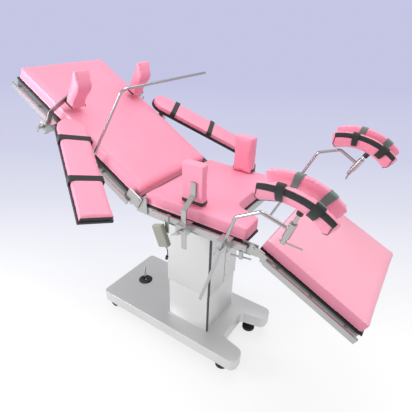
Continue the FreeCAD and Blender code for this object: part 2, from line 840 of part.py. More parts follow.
def u_plate(name, x0, x1, side, grow, low, high):
    """A plate the shape of the seat, with the wedge-shaped opening for the delivery at its foot end."""
    root = f"cut_root + {grow}"
    root_half = f"cut_root_half - {grow}"
    mouth = f"cut_mouth_half - {grow}"
    corners = [
        (x0, f"-({side})"), (x1, f"-({side})"), (x1, f"-({mouth})"), (root, f"-({root_half})"),
        (root, root_half), (x1, mouth), (x1, side), (x0, side),
    ]
    body = plate(name, corners, f"{high} - ({low})", low)
    at = v("cut_root") + float(grow)
    rounded(body, "cut_round", lambda e: upright(e) and abs(e.CenterOfMass.x - at) < 1)
    return body


def build_seat():
    start = "-back_hinge_x + fold_gap"
    pad_low = "table_top - seat_thick"
    pad = u_plate("seat_pad", start, "seat_foot", "half_width", "0", pad_low, "table_top")
    node("seat_cushion", [finish_cushion(pad, -v("back_hinge_x") + v("fold_gap"))])
    node("seat_board", [u_plate("seat_base", f"{start} + board_fold_gap", "seat_foot - board_step",
                                "half_width - board_step", "0", SEAT_FRAME_TOP, pad_low)])

    pieces = frame_pieces("seat", f"{start} + frame_head_gap", "seat_foot + frame_foot_reach",
                          f"({SEAT_FRAME_TOP})", "cut_root - pan_gap")
    pieces += hinge_ears("back", "-back_hinge_x - back_ear_head", "-back_hinge_x + back_ear_foot",
                         f"{SEAT_FRAME_TOP} - back_ear_drop", "back_hinge_z + ear_rise", "-back_hinge_x",
                         "back_hinge_z")
    pieces += hinge_ears("leg", "leg_hinge_x - leg_ear_head", "leg_hinge_x + leg_ear_foot",
                         f"{SEAT_FRAME_TOP} - leg_ear_drop", "leg_hinge_z + ear_rise", "leg_hinge_x",
                         "leg_hinge_z")
    for label, side in SIDES.items():
        low, high = across(side, "yoke_cheek_y + cheek + ear_gap", "yoke_cheek_y + 2 * cheek + ear_gap")
        pieces.append(block(f"tilt_lug_{label}", "-cheek_half", "cheek_half", low, high,
                            "tilt_height - tilt_pin - tilt_lug_wall",
                            f"{SEAT_FRAME_TOP} - frame_depth - pan"))
    pieces.append(rod("tilt_pin_bar", "tilt_pin", "0", "-yoke_cheek_y - 2 * cheek - ear_gap", "tilt_height",
                      "2 * (yoke_cheek_y + 2 * cheek + ear_gap)", "y"))
    node("seat_frame", [joined("seat_frame_whole", pieces)])
    rails = rail_pieces("seat", "-seat_rail_head", "seat_rail_foot", SEAT_RAIL,
                        spread("-seat_rail_head + seat_spacer_head",
                               "leg_hinge_x - leg_ear_head - spacer_radius - seat_spacer_foot"))
    studs = [rod(f"lock_stud_{label}", "lock_stud", "lock_x", f"{side} * (rail_out - rail_thick / 2)",
                 f"{SEAT_RAIL} - rail_height / 2 - stud_length", "stud_length + rail_height / 2")
             for label, side in SIDES.items()]
    node("seat_rails", [joined(f"seat_rail_{i}", pair) for i, pair in enumerate(zip(rails, studs))])


def build_back():
    end = "-fold_gap - back_length"
    pad_low = f"{BACK_TOP} - back_thick"
    pad = cushion("back_pad", end, "-fold_gap", pad_low, BACK_TOP, -v("fold_gap"))
    node("back_cushion", [pad], BACK)
    node("back_board", [block("back_base", f"{end} + board_step", "-fold_gap - board_fold_gap",
                              "-half_width + board_step", "half_width - board_step",
                              BACK_FRAME_TOP, pad_low)], BACK)
    pieces = frame_pieces("back", f"{end} + back_frame_gap", "-back_frame_end", f"({BACK_FRAME_TOP})")
    frame = hinge_arms("back", pieces, "-back_arm_head", "arm_nose", f"{BACK_FRAME_TOP} - back_arm_drop",
                       "arm_nose", "-back_arm_head", "-back_arm_head + back_arm_foot",
                       f"{BACK_FRAME_TOP} - back_arm_low", BACK_FRAME_TOP)
    node("back_frame", [frame], BACK)
    node("back_rails", rail_pieces("back", f"{end} + back_rail_gap", "-back_rail_foot", BACK_RAIL,
                                   spread(f"{end} + back_rail_gap + back_spacer_gap",
                                          "-back_arm_head - spacer_radius - back_spacer_foot", 2)), BACK)


def build_leg():
    end = "leg_start + leg_length"
    pad_low = f"{LEG_TOP} - leg_thick"
    node("leg_cushion", [cushion("leg_pad", "leg_start", end, pad_low, LEG_TOP, None)], LEG)
    node("leg_board", [block("leg_base", "leg_start + leg_board_gap", f"{end} - board_step",
                             "-half_width + board_step", "half_width - board_step",
                             LEG_FRAME_TOP, pad_low)], LEG)
    pieces = frame_pieces("leg", "leg_start + leg_frame_gap", f"{end} - leg_frame_end", f"({LEG_FRAME_TOP})")
    frame = hinge_arms("leg", pieces, "-arm_nose", "leg_arm_foot", "-arm_nose", "arm_nose", "leg_arm_root",
                       "leg_arm_foot", f"{LEG_FRAME_TOP} - leg_arm_low", f"{LEG_FRAME_TOP} - leg_arm_high")
    node("leg_frame", [frame], LEG)
    node("leg_rails", rail_pieces("leg", "leg_rail_head", f"{end} - leg_rail_gap", LEG_RAIL,
                                  spread("leg_rail_head + leg_spacer_gap",
                                         f"{end} - leg_rail_gap - leg_spacer_gap", -1)), LEG)


# Rail clamps and their T handles
def clamp_piece(name, x, side, centre, tools):
    """A block that grips the rail from outside, with the openings for what it holds."""
    low, high = across(side, "clamp_in", "clamp_out")
    body = block(name, f"{x} - clamp_half", f"{x} + clamp_half", low, high, f"{centre} - clamp_rise",
                 f"{centre} + clamp_rise")
    low, high = across(side, "rail_out - rail_thick - rail_fit", "rail_out")
    over_low = f"{x} - clamp_half - skin"
    over_high = f"{x} + clamp_half + skin"
    groove = block(name + "_groove", over_low, over_high, low, high,
                   f"{centre} - rail_height / 2 - rail_fit", f"{centre} + rail_height / 2 + rail_fit")
    low, high = across(side, "clamp_in - skin", "rail_out - rail_thick")
    throat = block(name + "_throat", over_low, over_high, low, high,
                   f"{centre} - lip_half", f"{centre} + lip_half")
    cut = carved(name + "_cut", body, [groove, throat] + tools)
    low, high = across(side, "clamp_out - skin", "clamp_out + stud_length")
    stud = rod(name + "_stud", "stud_radius", x, low, centre, f"({high}) - ({low})", "y")
    return joined(name + "_whole", [cut, stud])


def t_handle(label, frame, half="handle_half", length="hub_length", stud="stud_radius", slide=0):
    """A hub on a stud with a bar across it; its own Z points away from the clamp."""
    half = v(half)
    hub = Part.makeCylinder(v("hub_radius"), v(length) - v("ear_sink"), Vector(0, 0, v("ear_sink")))
    bore = Part.makeCylinder(v(stud) + v("running_gap"), v("stud_length") + v("stud_end"))
    start = Vector(slide - half, 0, v(length) - v("hub_crown"))
    bar = Part.makeCylinder(v("handle_bar"), 2 * half, start, Vector(1, 0, 0))
    node(label, [made(label + "_piece", hub.cut(bore).fuse(bar))], frame)


def outward(x, side, z, turn):
    """The frame of a handle on the outer face of a clamp."""
    place = Placement(Vector(x, side * v("clamp_out"), z), Rotation(Vector(1, 0, 0), -90 * side))
    return place.multiply(about_z(turn))


# Hip supports: a pad on a bent flat bar that slides in its clamp
def build_hip_supports(clamps):
    rail_z = v("table_top") - v("seat_rail_drop")
    for label, side in SIDES.items():
        low, high = across(side, "hip_bar_y - hip_bar_thick / 2 - slide_fit",
                           "hip_bar_y + hip_bar_thick / 2 + slide_fit")
        slot = block(f"hip_slot_{label}", "hip_bar_x - hip_bar_wide / 2 - slide_fit",
                     "hip_bar_x + hip_bar_wide / 2 + slide_fit", low, high,
                     f"{SEAT_RAIL} - slot_over", f"{SEAT_RAIL} + slot_over")
        clamps.append(clamp_piece(f"hip_clamp_{label}", "hip_bar_x", side, SEAT_RAIL, [slot]))
        t_handle(f"hip_handle_{label}", outward(v("hip_bar_x"), side, rail_z, v("turn_hip")))
        inner = v("hip_outer") + v("hip_bar_thick") / 2
        path = [(v("hip_bar_y"), v("hip_bar_foot")), (v("hip_bar_y"), v("hip_jog_low")),
                (inner, v("hip_jog_high")), (inner, v("hip_bar_top"))]
        bar = flat_bar(path, v("hip_bar_thick"), v("hip_bar_wide"), side)
        bar_frame = Placement(Vector(v("hip_bar_x") - v("hip_bar_wide") / 2, 0, 0), Rotation())
        node(f"hip_bar_{label}", [made(f"hip_bar_piece_{label}", bar, bar_frame)])
        low, high = across(side, "hip_inner", "hip_outer")
        corners = [("hip_x - hip_half", low), ("hip_x + hip_half", low), ("hip_x + hip_half", high),
                   ("hip_x - hip_half", high)]
        pad = plate(f"hip_block_{label}", corners, "hip_rise", "hip_foot")
        inner_y = side * v("hip_inner")
        rounded(pad, "hip_round", lambda e: upright(e) and abs(e.CenterOfMass.y - inner_y) < 0.1)
        node(f"hip_pad_{label}", [pad])


# Shoulder supports: a curved pad on a flat bar that slides in its clamp on the back rail
def build_shoulder_supports(clamps):
    for label, side in SIDES.items():
        x = "-(shoulder_x + shoulder_thick + shoulder_bar_thick / 2)"
        low, high = across(side, "shoulder_bar_y - shoulder_bar_wide / 2 - slide_fit",
                           "shoulder_bar_y + shoulder_bar_wide / 2 + slide_fit")
        slot = block(f"shoulder_slot_{label}", f"{x} - shoulder_bar_thick / 2 - slide_fit",
                     f"{x} + shoulder_bar_thick / 2 + slide_fit", low, high,
                     f"{BACK_RAIL} - slot_over", f"{BACK_RAIL} + slot_over")
        clamps.append(clamp_piece(f"shoulder_clamp_{label}", x, side, BACK_RAIL, [slot]))
        at = -(v("shoulder_x") + v("shoulder_thick") + v("shoulder_bar_thick") / 2)
        handle_frame = BACK.multiply(outward(at, side, BACK_RAIL_Z, v("turn_shoulder")))
        t_handle(f"shoulder_handle_{label}", handle_frame)
        path = [(v("shoulder_bar_y"), v("shoulder_bar_foot")), (v("shoulder_bar_y"), v("shoulder_bar_knee")),
                (v("shoulder_bar_reach"), v("shoulder_bar_end"))]
        bar = flat_bar(path, v("shoulder_bar_wide"), v("shoulder_bar_thick"), side)
        bar_x = -(v("shoulder_x") + v("shoulder_thick") + v("shoulder_bar_thick"))
        node(f"shoulder_bar_{label}", [made(f"shoulder_bar_piece_{label}", bar,
                                            Placement(Vector(bar_x, 0, 0), Rotation()))], BACK)
        node(f"shoulder_pad_{label}", [made(f"shoulder_pad_piece_{label}", shoulder_block(side))], BACK)


def shoulder_block(side):
    """A pad whose front face is hollowed and whose top leans back, seen from the side."""
    front = -v("shoulder_x")
    rear = front - v("shoulder_thick")
    foot = v("shoulder_foot")
    top = foot + v("shoulder_rise")
    crown = v("shoulder_crown")
    start = Vector(front - v("shoulder_foot_lean"), 0, foot)
    end = Vector(front - v("shoulder_lip"), 0, foot + v("shoulder_front_rise"))
    front_face = Part.BSplineCurve()
    front_face.interpolate([start, Vector(front - v("shoulder_hollow"), 0, foot + v("shoulder_low_rise")),
                            Vector(front, 0, foot + v("shoulder_high_rise")), end])
    peak = Vector(rear + crown, 0, top)
    fall = Vector(rear, 0, top - crown)
    turn = crown * (1 - math.sqrt(0.5))
    edges = [
        front_face.toShape(),
        Part.makeLine(end, peak),
        Part.Arc(peak, Vector(rear + turn, 0, top - turn), fall).toShape(),
        Part.makeLine(fall, Vector(rear, 0, foot)),
        Part.makeLine(Vector(rear, 0, foot), start),
    ]
    inner, outer = sorted((side * v("shoulder_inner"), side * v("shoulder_outer")))
    solid = Part.Face(Part.Wire(edges)).extrude(Vector(0, outer - inner, 0))
    solid.translate(Vector(0, inner, 0))
    return solid


# Anaesthesia screen rod: a post on the near back rail with an arm across the table
def build_screen(clamps):
    lean = about_y(-v("screen_x"), BACK_RAIL_Z, v("screen_lean"))
    lean.move(Vector(0, -v("screen_y"), 0))
    over = v("slot_over")
    bore = Part.makeCylinder(v("screen_radius") + v("running_gap"), 2 * over, Vector(0, 0, -over))
    hole = made("screen_hole", bore, lean)
    clamps.append(clamp_piece("screen_clamp", "-screen_x", NEAR, BACK_RAIL, [hole]))
    corner = Vector(0, 0, v("screen_rise"))
    path = [Vector(0, 0, -v("screen_foot")), corner, corner + Vector(0, v("screen_arm"), 0)]
    bar = made("screen_bar", bent_bar(path, v("screen_radius"), v("screen_bend")))
    node("screen_rod", [bar], BACK.multiply(lean))


# Arm boards: they swivel on an upright pin beside the back section
def build_arm_boards(clamps):
    for label, side in SIDES.items():
        swing = math.radians(v("arm_swing"))
        reach = v("arm_length") - v("arm_pivot")
        pivot_x = v("arm_end_x") - reach * math.cos(swing)
        pivot_y = side * (v("arm_end_y") - reach * math.sin(swing))
        turn = about_z(side * v("arm_swing")).Rotation
        frame = BACK.multiply(Placement(Vector(pivot_x, pivot_y, 0), turn))
        board_low = v("arm_top") - v("arm_pad_thick") - v("arm_board_thick")
        half = v("arm_width") / 2
        outline = arm_outline(half)
        board = outline.extrude(Vector(0, 0, v("arm_board_thick")))
        board.translate(Vector(0, 0, board_low))
        bore = Part.makeCylinder(v("arm_pin") + v("running_gap"), v("arm_board_thick"),
                                 Vector(0, 0, board_low))
        node(f"arm_board_{label}", [made(f"arm_board_piece_{label}", board.cut(bore))], frame)
        pad = arm_outline(half - v("arm_pad_step")).extrude(Vector(0, 0, v("arm_pad_thick")))
        pad.translate(Vector(0, 0, board_low + v("arm_board_thick")))
        node(f"arm_pad_{label}", [made(f"arm_pad_piece_{label}", pad)], frame)

        seat_top = BACK_RAIL_Z + v("clamp_rise")
        foot = Vector(pivot_x, abs(pivot_y), seat_top)
        reach = v("arm_bracket_half")
        bracket = Part.makeBox(2 * reach, foot.y + reach - v("arm_bracket_in"), v("arm_bracket"),
                               Vector(pivot_x - reach, v("arm_bracket_in"), seat_top))
        collar = Part.makeCylinder(v("arm_collar"), board_low - v("arm_collar_gap") - seat_top, foot)
        pin_end = board_low + v("arm_board_thick") - v("stud_end")
        pin = Part.makeCylinder(v("arm_pin"), pin_end - seat_top, foot)
        shape = bracket.fuse([collar, pin])
        if side == NEAR:
            shape = shape.mirror(Vector(), Vector(0, 1, 0))
        support = made(f"arm_support_{label}", shape)
        block_piece = clamp_piece(f"arm_clamp_{label}", str(round(pivot_x, 3)), side, BACK_RAIL, [])
        clamps.append(joined(f"arm_clamp_whole_{label}", [block_piece, support]))


def arm_outline(half):
    """A long board, square at the hand and round at the shoulder, with its pivot at the origin."""
    shoulder = -v("arm_pivot") + v("arm_width") / 2
    hand = v("arm_length") - v("arm_pivot") - (v("arm_width") / 2 - half)
    low = Vector(shoulder, -half, 0)
    high = Vector(shoulder, half, 0)
    edges = [
        Part.makeLine(low, Vector(hand, -half, 0)),
        Part.makeLine(Vector(hand, -half, 0), Vector(hand, half, 0)),
        Part.makeLine(Vector(hand, half, 0), high),
        Part.Arc(high, Vector(shoulder - half, 0, 0), low).toShape(),
    ]
    return Part.Face(Part.Wire(edges))


# Leg holders: a bent rod in a tilting clamp, a knuckle at its end, a trough on a post
def trough_shape(back):
    """A saddle: hollow for the calf, arched along its length, round at its ends, set back on its arch."""
    arch = v("trough_arch")
    depth = v("trough_depth")
    inner_half = v("trough_inner_half")
    inner = (inner_half ** 2 + depth ** 2) / (2 * depth)
    outer = inner + v("trough_thick")
    ring = arch + inner - depth
    centre = Vector(0, 0, -arch)
    across_table = Vector(0, 1, 0)
    skin = Part.makeTorus(ring, outer, centre, across_table)
    hollow = Part.makeTorus(ring, inner, centre, across_table)
    start = centre - across_table * outer
    half_angle = math.asin(v("trough_chord") / 2 / arch)
    sector = Part.makeCylinder(arch, 2 * outer, start, across_table, math.degrees(2 * half_angle))
    sector.rotate(centre, across_table, -back - math.degrees(half_angle))
    end_round = v("trough_end_round")
    leans = [way * (half_angle - end_round / arch) - math.radians(back) for way in (-1, 1)]
    ends = [Part.makeCylinder(end_round, arch + v("trough_thick"), centre,
                              Vector(math.sin(lean), 0, math.cos(lean))) for lean in leans]
    return skin.common(sector).common(ends[0].fuse(ends[1])).cut(hollow)


def build_leg_holders(clamps):
    rail_z = v("table_top") - v("seat_rail_drop")
    over = v("slot_over")
    for label, side in SIDES.items():
        first = math.radians(v(f"holder_turn_one_{label}"))
        second = first + math.radians(v(f"holder_turn_two_{label}"))
        x = v(f"holder_x_{label}")
        lean = v(f"holder_lean_{label}")
        rise = v(f"holder_up_{label}")
        tilt = Placement(Vector(x, side * v("post_y"), rail_z), Rotation(Vector(0, 1, 0), lean))
        bore = Part.makeCylinder(v("holder_radius") + v("running_gap"), 4 * over, Vector(0, 0, -2 * over))
        hole = made(f"holder_hole_{label}", bore, tilt)
        clamps.append(clamp_piece(f"holder_clamp_{label}", f"holder_x_{label}", side, SEAT_RAIL, [hole]))
        t_handle(f"holder_handle_{label}", outward(x, side, rail_z, v("turn_holder")))

        stand = tilt.multiply(about_z(side * v("holder_swing")))
        top = Vector(0, 0, rise)
        elbow = top + Vector(math.sin(first), 0, math.cos(first)) * v(f"holder_run_one_{label}")
        end_way = Vector(math.sin(second), 0, math.cos(second))
        end = elbow + end_way * v(f"holder_run_two_{label}")
        hub = end + end_way * v("knuckle_offset")
        foot = Vector(0, 0, -v(f"holder_below_{label}"))
        stem = made(f"holder_stem_{label}",
                    bent_bar([foot, top, elbow, hub], v("holder_radius"), v("holder_bend")), stand)
        turn = Rotation(Vector(0, 1, 0), v(f"post_lean_{label}"))
        turn = turn.multiply(about_z(side * v("holder_swing")).Rotation)
        post_frame = Placement(stand.multVec(hub), turn)
        low = v("knuckle_low")
        knuckle = Part.makeCylinder(v("knuckle_radius"), low + v("knuckle_high"), Vector(0, 0, -low))
        stud = Part.makeCylinder(v("stud_radius"), v("stud_length") + v("skin"),
                                 Vector(0, 0, -low - v("stud_length")))
        sink = v("post_sink")
        socket = Part.makeCylinder(v("post_radius") + v("running_gap"), 2 * (sink + v("knuckle_high")),
                                   Vector(0, 0, -sink - v("socket_floor")))
        grip = made(f"knuckle_{label}", knuckle.fuse(stud), post_frame)
        bore = made(f"knuckle_bore_{label}", socket, post_frame)
        whole = joined(f"holder_whole_{label}", [stem, grip])
        node(f"holder_rod_{label}", [carved(f"holder_cut_{label}", whole, [bore])])

        under = Placement(Vector(0, 0, -low), Rotation(Vector(1, 0, 0), 180))
        handle = post_frame.multiply(under).multiply(about_z(v(f"turn_knuckle_{label}")))
        t_handle(f"knuckle_handle_{label}", handle, "long_handle_half", slide=v("bar_slide"))

        post_top = v(f"post_top_{label}")
        post = Part.makeCylinder(v("post_radius"), post_top + sink, Vector(0, 0, -sink))
        knob = Part.makeCylinder(v("knob_radius"), v("knob_height"), Vector(0, 0, post_top))
        node(f"trough_post_{label}", [made(f"trough_post_piece_{label}", post.fuse(knob))], post_frame)
        tip = Rotation(Vector(0, 1, 0), v(f"trough_pitch_{label}"))
        tip = tip.multiply(about_z(v(f"trough_turn_{label}")).Rotation)
        under_trough = Vector(0, 0, post_top + v("knob_height") - v("knob_sink"))
        to_rim = Vector(0, 0, v("trough_depth") + v("trough_thick"))
        saddle = trough_shape(v(f"trough_back_{label}"))
        saddle.Placement = Placement(under_trough, tip).multiply(Placement(to_rim, Rotation()))
        seat = Part.makeCylinder(v("knob_radius") + v("slide_fit"), v("knob_height"),
                                 Vector(0, 0, post_top))
        node(f"leg_trough_{label}", [made(f"leg_trough_piece_{label}", saddle.cut(seat))], post_frame)
        print("holder", label, "clamp", tuple(tilt.Base), "knuckle", tuple(post_frame.Base))


def build_leg_locks():
    for label, side in SIDES.items():
        under = v("table_top") - v("seat_rail_drop") - v("rail_height") / 2
        place = Placement(Vector(v("lock_x"), side * (v("rail_out") - v("rail_thick") / 2), under),
                          Rotation(Vector(1, 0, 0), 180))
        place = place.multiply(about_z(v("turn_lock")))
        t_handle(f"leg_lock_{label}", place, "long_handle_half", "lock_hub", "lock_stud")


# Hand control on the near rail, with its short lead and plug
def build_pendant():
    frame = Placement(Vector(v("pendant_x"), -v("pendant_y"), v("pendant_z")),
                      Rotation(Vector(0, 1, 0), v("pendant_tilt")))
    wide = v("pendant_wide")
    high = v("pendant_high")
    thick = v("pendant_thick")
    case = Part.makeBox(wide, thick, high, Vector(-wide / 2, -thick / 2, -high / 2))
    case = case.makeFillet(v("pendant_round"), case.Edges)
    exit_point = Vector(v("gland_x"), 0, -high / 2 - v("gland_length"))
    gland = Part.makeCylinder(v("gland_radius"), 2 * v("gland_length"), exit_point)
    node("pendant", [made("pendant_case", case.fuse(gland))], frame)
    rail_top = f"{SEAT_RAIL} + rail_height / 2"
    hook_top = f"{rail_top} + hook_thick"
    inside = "-rail_out + rail_thick + hook_gap"
    strap = block("hook_strap", "-hook_head", "hook_foot", "-pendant_y + pendant_thick / 2", "-rail_out",
                  "pendant_z + hook_low", hook_top)
    over = block("hook_over", "-hook_head", "hook_foot", "-rail_out", f"{inside} + hook_thick",
                 rail_top, hook_top)
    lip = block("hook_lip_piece", "-hook_head", "hook_foot", inside, f"{inside} + hook_thick",
                f"{rail_top} - hook_lip", hook_top)
    node("pendant_hook", [joined("pendant_hook_whole", [strap, over, lip])])

    start = frame.multVec(exit_point)
    down = frame.Rotation.multVec(Vector(0, 0, -1))
    below = start + down * v("lead_straight")
    middle = below + Vector(v("lead_sway"), v("lead_sway"), -v("lead_drop"))
    points = [start, below, middle, middle + Vector(-v("lead_back"), v("lead_sway"), -v("lead_end_drop"))]
    lead = bent_bar(points, v("cable_radius"), v("cable_bend"))
    node("pendant_lead", [made("pendant_lead_piece", lead)])
    last = (points[-1] - points[-2]).normalize()
    plug = Part.makeCylinder(v("plug_radius"), v("plug_length"), points[-1], last)
    node("lead_plug", [made("lead_plug_piece", plug)])
    print("lead", [tuple(round(c, 3) for c in point) for point in points], "bend radius",
          v("cable_bend"))


build_base()
build_column()
build_seat()
build_back()
build_leg()
seat_clamps = []
back_clamps = []
build_hip_supports(seat_clamps)
build_leg_holders(seat_clamps)
build_leg_locks()
build_shoulder_supports(back_clamps)
build_screen(back_clamps)
build_arm_boards(back_clamps)
node("seat_clamps", seat_clamps)
node("back_clamps", back_clamps, BACK)
build_pendant()
doc.recompute()

# Every object has to be sound before anything is written
for item in doc.Objects:
    if any(state in ("Invalid", "Error") for state in item.State):
        raise RuntimeError(f"{item.Name} failed: {item.State}")
os.makedirs("parts", exist_ok=True)
for label, item in nodes.items():
    if item.Shape.isNull() or not item.Shape.isValid() or not item.Shape.Solids:
        raise RuntimeError(f"{label} has no sound shape")
for label, item in nodes.items():
    item.Shape.exportStep(f"parts/{label}.step")
print(len(nodes), "sub-parts written")
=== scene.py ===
import json
import math
from collections import namedtuple

import bmesh
import bpy
from mathutils import Matrix, Vector
from mathutils.bvhtree import BVHTree


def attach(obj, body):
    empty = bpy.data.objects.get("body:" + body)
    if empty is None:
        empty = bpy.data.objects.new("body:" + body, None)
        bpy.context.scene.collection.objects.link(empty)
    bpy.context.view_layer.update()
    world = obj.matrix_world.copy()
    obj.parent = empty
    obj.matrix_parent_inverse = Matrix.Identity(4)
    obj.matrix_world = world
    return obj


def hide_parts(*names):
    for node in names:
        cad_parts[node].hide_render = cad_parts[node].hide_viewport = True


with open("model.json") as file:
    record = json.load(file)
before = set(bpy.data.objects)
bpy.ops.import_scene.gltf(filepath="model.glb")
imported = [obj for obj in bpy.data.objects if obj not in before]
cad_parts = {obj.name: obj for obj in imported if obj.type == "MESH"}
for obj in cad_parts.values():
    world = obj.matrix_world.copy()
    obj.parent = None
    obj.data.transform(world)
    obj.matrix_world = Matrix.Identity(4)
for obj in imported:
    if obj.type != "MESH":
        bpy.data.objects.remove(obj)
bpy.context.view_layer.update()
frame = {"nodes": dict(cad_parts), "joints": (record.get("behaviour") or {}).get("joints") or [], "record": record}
parts = frame["nodes"]
joints = {joint["name"]: joint for joint in frame["joints"]}
SIDES = {"near": -1, "far": 1}

# Sizes and places of the table in metres, and its turns at rest
BACK_REST = math.radians(30.25)
LEG_REST = math.radians(25.7)
ARM_SWING = math.radians(27.5)
ARM_LENGTH = 0.560
ARM_PIVOT = 0.080
ARM_HALF = 0.069
ARM_TOP = 0.075
ARM_LOW = 0.039
PIVOT_HEIGHT = 0.045
TROUGH_ARCH = 0.260
TROUGH_DEPTH = 0.056
TROUGH_INNER_HALF = 0.038
TROUGH_WALL = 0.024
TROUGH_CHORD = 0.298
TROUGH_LIMIT = math.asin(TROUGH_CHORD / 2 / TROUGH_ARCH)
TROUGH_END_ROUND = 0.095
TROUGH_UNDER = {"near": 0.088, "far": 0.066}
TROUGH_PITCH = {"near": math.radians(4), "far": math.radians(-5.5)}
TROUGH_TURN = {"near": math.radians(8), "far": 0.0}
TROUGH_BACK = {"near": math.radians(7), "far": math.radians(9)}
POST_TOP = {"near": 0.067, "far": 0.045}
HOLDER_SWING = math.radians(4)
COLUMN_X = 0.130
COLUMN_Y = 0.135
COVER_SEAM = 0.388
COVER_TOP = 0.764
BASE_TOP = 0.140


def new_mesh(name, vertices, faces):
    """An object from points and faces, its place in its mesh."""
    mesh = bpy.data.meshes.new(name)
    mesh.from_pydata([tuple(v) for v in vertices], [], faces)
    mesh.update()
    piece = bpy.data.objects.new(name, mesh)
    bpy.context.scene.collection.objects.link(piece)
    return piece


def outward_faces(piece):
    """Welds the piece and turns its faces outwards."""
    shell = bmesh.new()
    shell.from_mesh(piece.data)
    bmesh.ops.remove_doubles(shell, verts=shell.verts, dist=0.00002)
    bmesh.ops.recalc_face_normals(shell, faces=shell.faces)
    shell.to_mesh(piece.data)
    shell.free()


def smooth(piece, angle=40):
    """Smooth shading with crisp edges where the surface turns sharply."""
    piece.data.shade_smooth()
    limit = math.radians(angle)
    shell = bmesh.new()
    shell.from_mesh(piece.data)
    for edge in shell.edges:
        edge.smooth = len(edge.link_faces) == 2 and edge.calc_face_angle(0) < limit
    shell.to_mesh(piece.data)
    shell.free()


def finished(piece, material, body):
    """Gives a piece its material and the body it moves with."""
    piece.data.materials.clear()
    piece.data.materials.append(material)
    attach(piece, body)
    return piece


def baked(piece):
    """Turns the piece's modifiers into plain mesh."""
    graph = bpy.context.evaluated_depsgraph_get()
    graph.update()
    mesh = bpy.data.meshes.new_from_object(piece.evaluated_get(graph))
    piece.modifiers.clear()
    piece.data = mesh
    return piece


# Finishes
def surface_group(name, inputs, outputs):
    """An empty shader group with named sockets."""
    tree = bpy.data.node_groups.new(name, "ShaderNodeTree")
    for label, kind, value in inputs:
        socket = tree.interface.new_socket(label, in_out="INPUT", socket_type=kind)
        socket.default_value = value
    for label, kind in outputs:
        tree.interface.new_socket(label, in_out="OUTPUT", socket_type=kind)
    return tree, tree.nodes.new("NodeGroupInput"), tree.nodes.new("NodeGroupOutput")


def add(tree, kind, **settings):
    """A node with its settings, where a socket's value is given by the socket's name."""
    node = tree.nodes.new(kind)
    for key, value in settings.items():
        if hasattr(node, key):
            setattr(node, key, value)
        else:
            node.inputs[key.replace("_", " ").title()].default_value = value
    return node


def leather_grain():
    """Fine pebbled grain and slow changes of tone, for coated cloth."""
    tree, given, out = surface_group(
        "vinyl grain",
        [("Grain", "NodeSocketFloat", 900.0), ("Patch", "NodeSocketFloat", 5.0)],
        [("Height", "NodeSocketFloat"), ("Tone", "NodeSocketFloat")])
    place = add(tree, "ShaderNodeTexCoord")
    pebbles = add(tree, "ShaderNodeTexVoronoi", feature="SMOOTH_F1")
    patches = add(tree, "ShaderNodeTexNoise", detail=3.0)
    tree.links.new(place.outputs["Object"], pebbles.inputs["Vector"])
    tree.links.new(place.outputs["Object"], patches.inputs["Vector"])
    tree.links.new(given.outputs["Grain"], pebbles.inputs["Scale"])
    tree.links.new(given.outputs["Patch"], patches.inputs["Scale"])
    tree.links.new(pebbles.outputs["Distance"], out.inputs["Height"])
    tree.links.new(patches.outputs["Fac"], out.inputs["Tone"])
    return tree


def brushed_lines():
    """Fine lines along one direction, for brushed sheet metal."""
    tree, given, out = surface_group(
        "brushed lines",
        [("Stretch", "NodeSocketVector", (400.0, 6.0, 400.0))],
        [("Height", "NodeSocketFloat"), ("Cloud", "NodeSocketFloat")])
    place = add(tree, "ShaderNodeTexCoord")
    stretched = add(tree, "ShaderNodeVectorMath", operation="MULTIPLY")
    lines = add(tree, "ShaderNodeTexNoise", scale=1.0, detail=2.0)
    cloud = add(tree, "ShaderNodeTexNoise", scale=3.5, detail=2.0)
    tree.links.new(place.outputs["Object"], stretched.inputs[0])
    tree.links.new(given.outputs["Stretch"], stretched.inputs[1])
    tree.links.new(stretched.outputs["Vector"], lines.inputs["Vector"])
    tree.links.new(place.outputs["Object"], cloud.inputs["Vector"])
    tree.links.new(lines.outputs["Fac"], out.inputs["Height"])
    tree.links.new(cloud.outputs["Fac"], out.inputs["Cloud"])
    return tree


def woven_ribs():
    """The close ribs of webbing, across its length and along it."""
    tree, given, out = surface_group(
        "webbing weave",
        [("Pitch", "NodeSocketFloat", 420.0)],
        [("Height", "NodeSocketFloat")])
    place = add(tree, "ShaderNodeTexCoord")
    warp = add(tree, "ShaderNodeTexWave", bands_direction="DIAGONAL", distortion=0.6)
    fuzz = add(tree, "ShaderNodeTexNoise", scale=900.0)
    total = add(tree, "ShaderNodeMath", operation="ADD")
    tree.links.new(place.outputs["Object"], warp.inputs["Vector"])
    tree.links.new(place.outputs["Object"], fuzz.inputs["Vector"])
    tree.links.new(given.outputs["Pitch"], warp.inputs["Scale"])
    tree.links.new(warp.outputs["Fac"], total.inputs[0])
    tree.links.new(fuzz.outputs["Fac"], total.inputs[1])
    tree.links.new(total.outputs["Value"], out.inputs["Height"])
    return tree


GRAIN = leather_grain()
BRUSHED = brushed_lines()
WEAVE = woven_ribs()


def finish(name, colour, roughness, metallic=0.0, coat=0.0, sheen=0.0):
    """A material with one shader, its plain values on the shader's own sockets."""
    material = bpy.data.materials.new(name)
    material.use_nodes = True
    shader = material.node_tree.nodes["Principled BSDF"]
    shader.inputs["Base Color"].default_value = (*colour, 1)
    shader.inputs["Roughness"].default_value = roughness
    shader.inputs["Metallic"].default_value = metallic
    shader.inputs["Coat Weight"].default_value = coat
    shader.inputs["Sheen Weight"].default_value = sheen
    return material


def patterned(material, group):
    """Puts a shared pattern in a material: the material's tree, its shader and the pattern's node."""
    tree = material.node_tree
    pattern = tree.nodes.new("ShaderNodeGroup")
    pattern.node_tree = group
    return tree, tree.nodes["Principled BSDF"], pattern


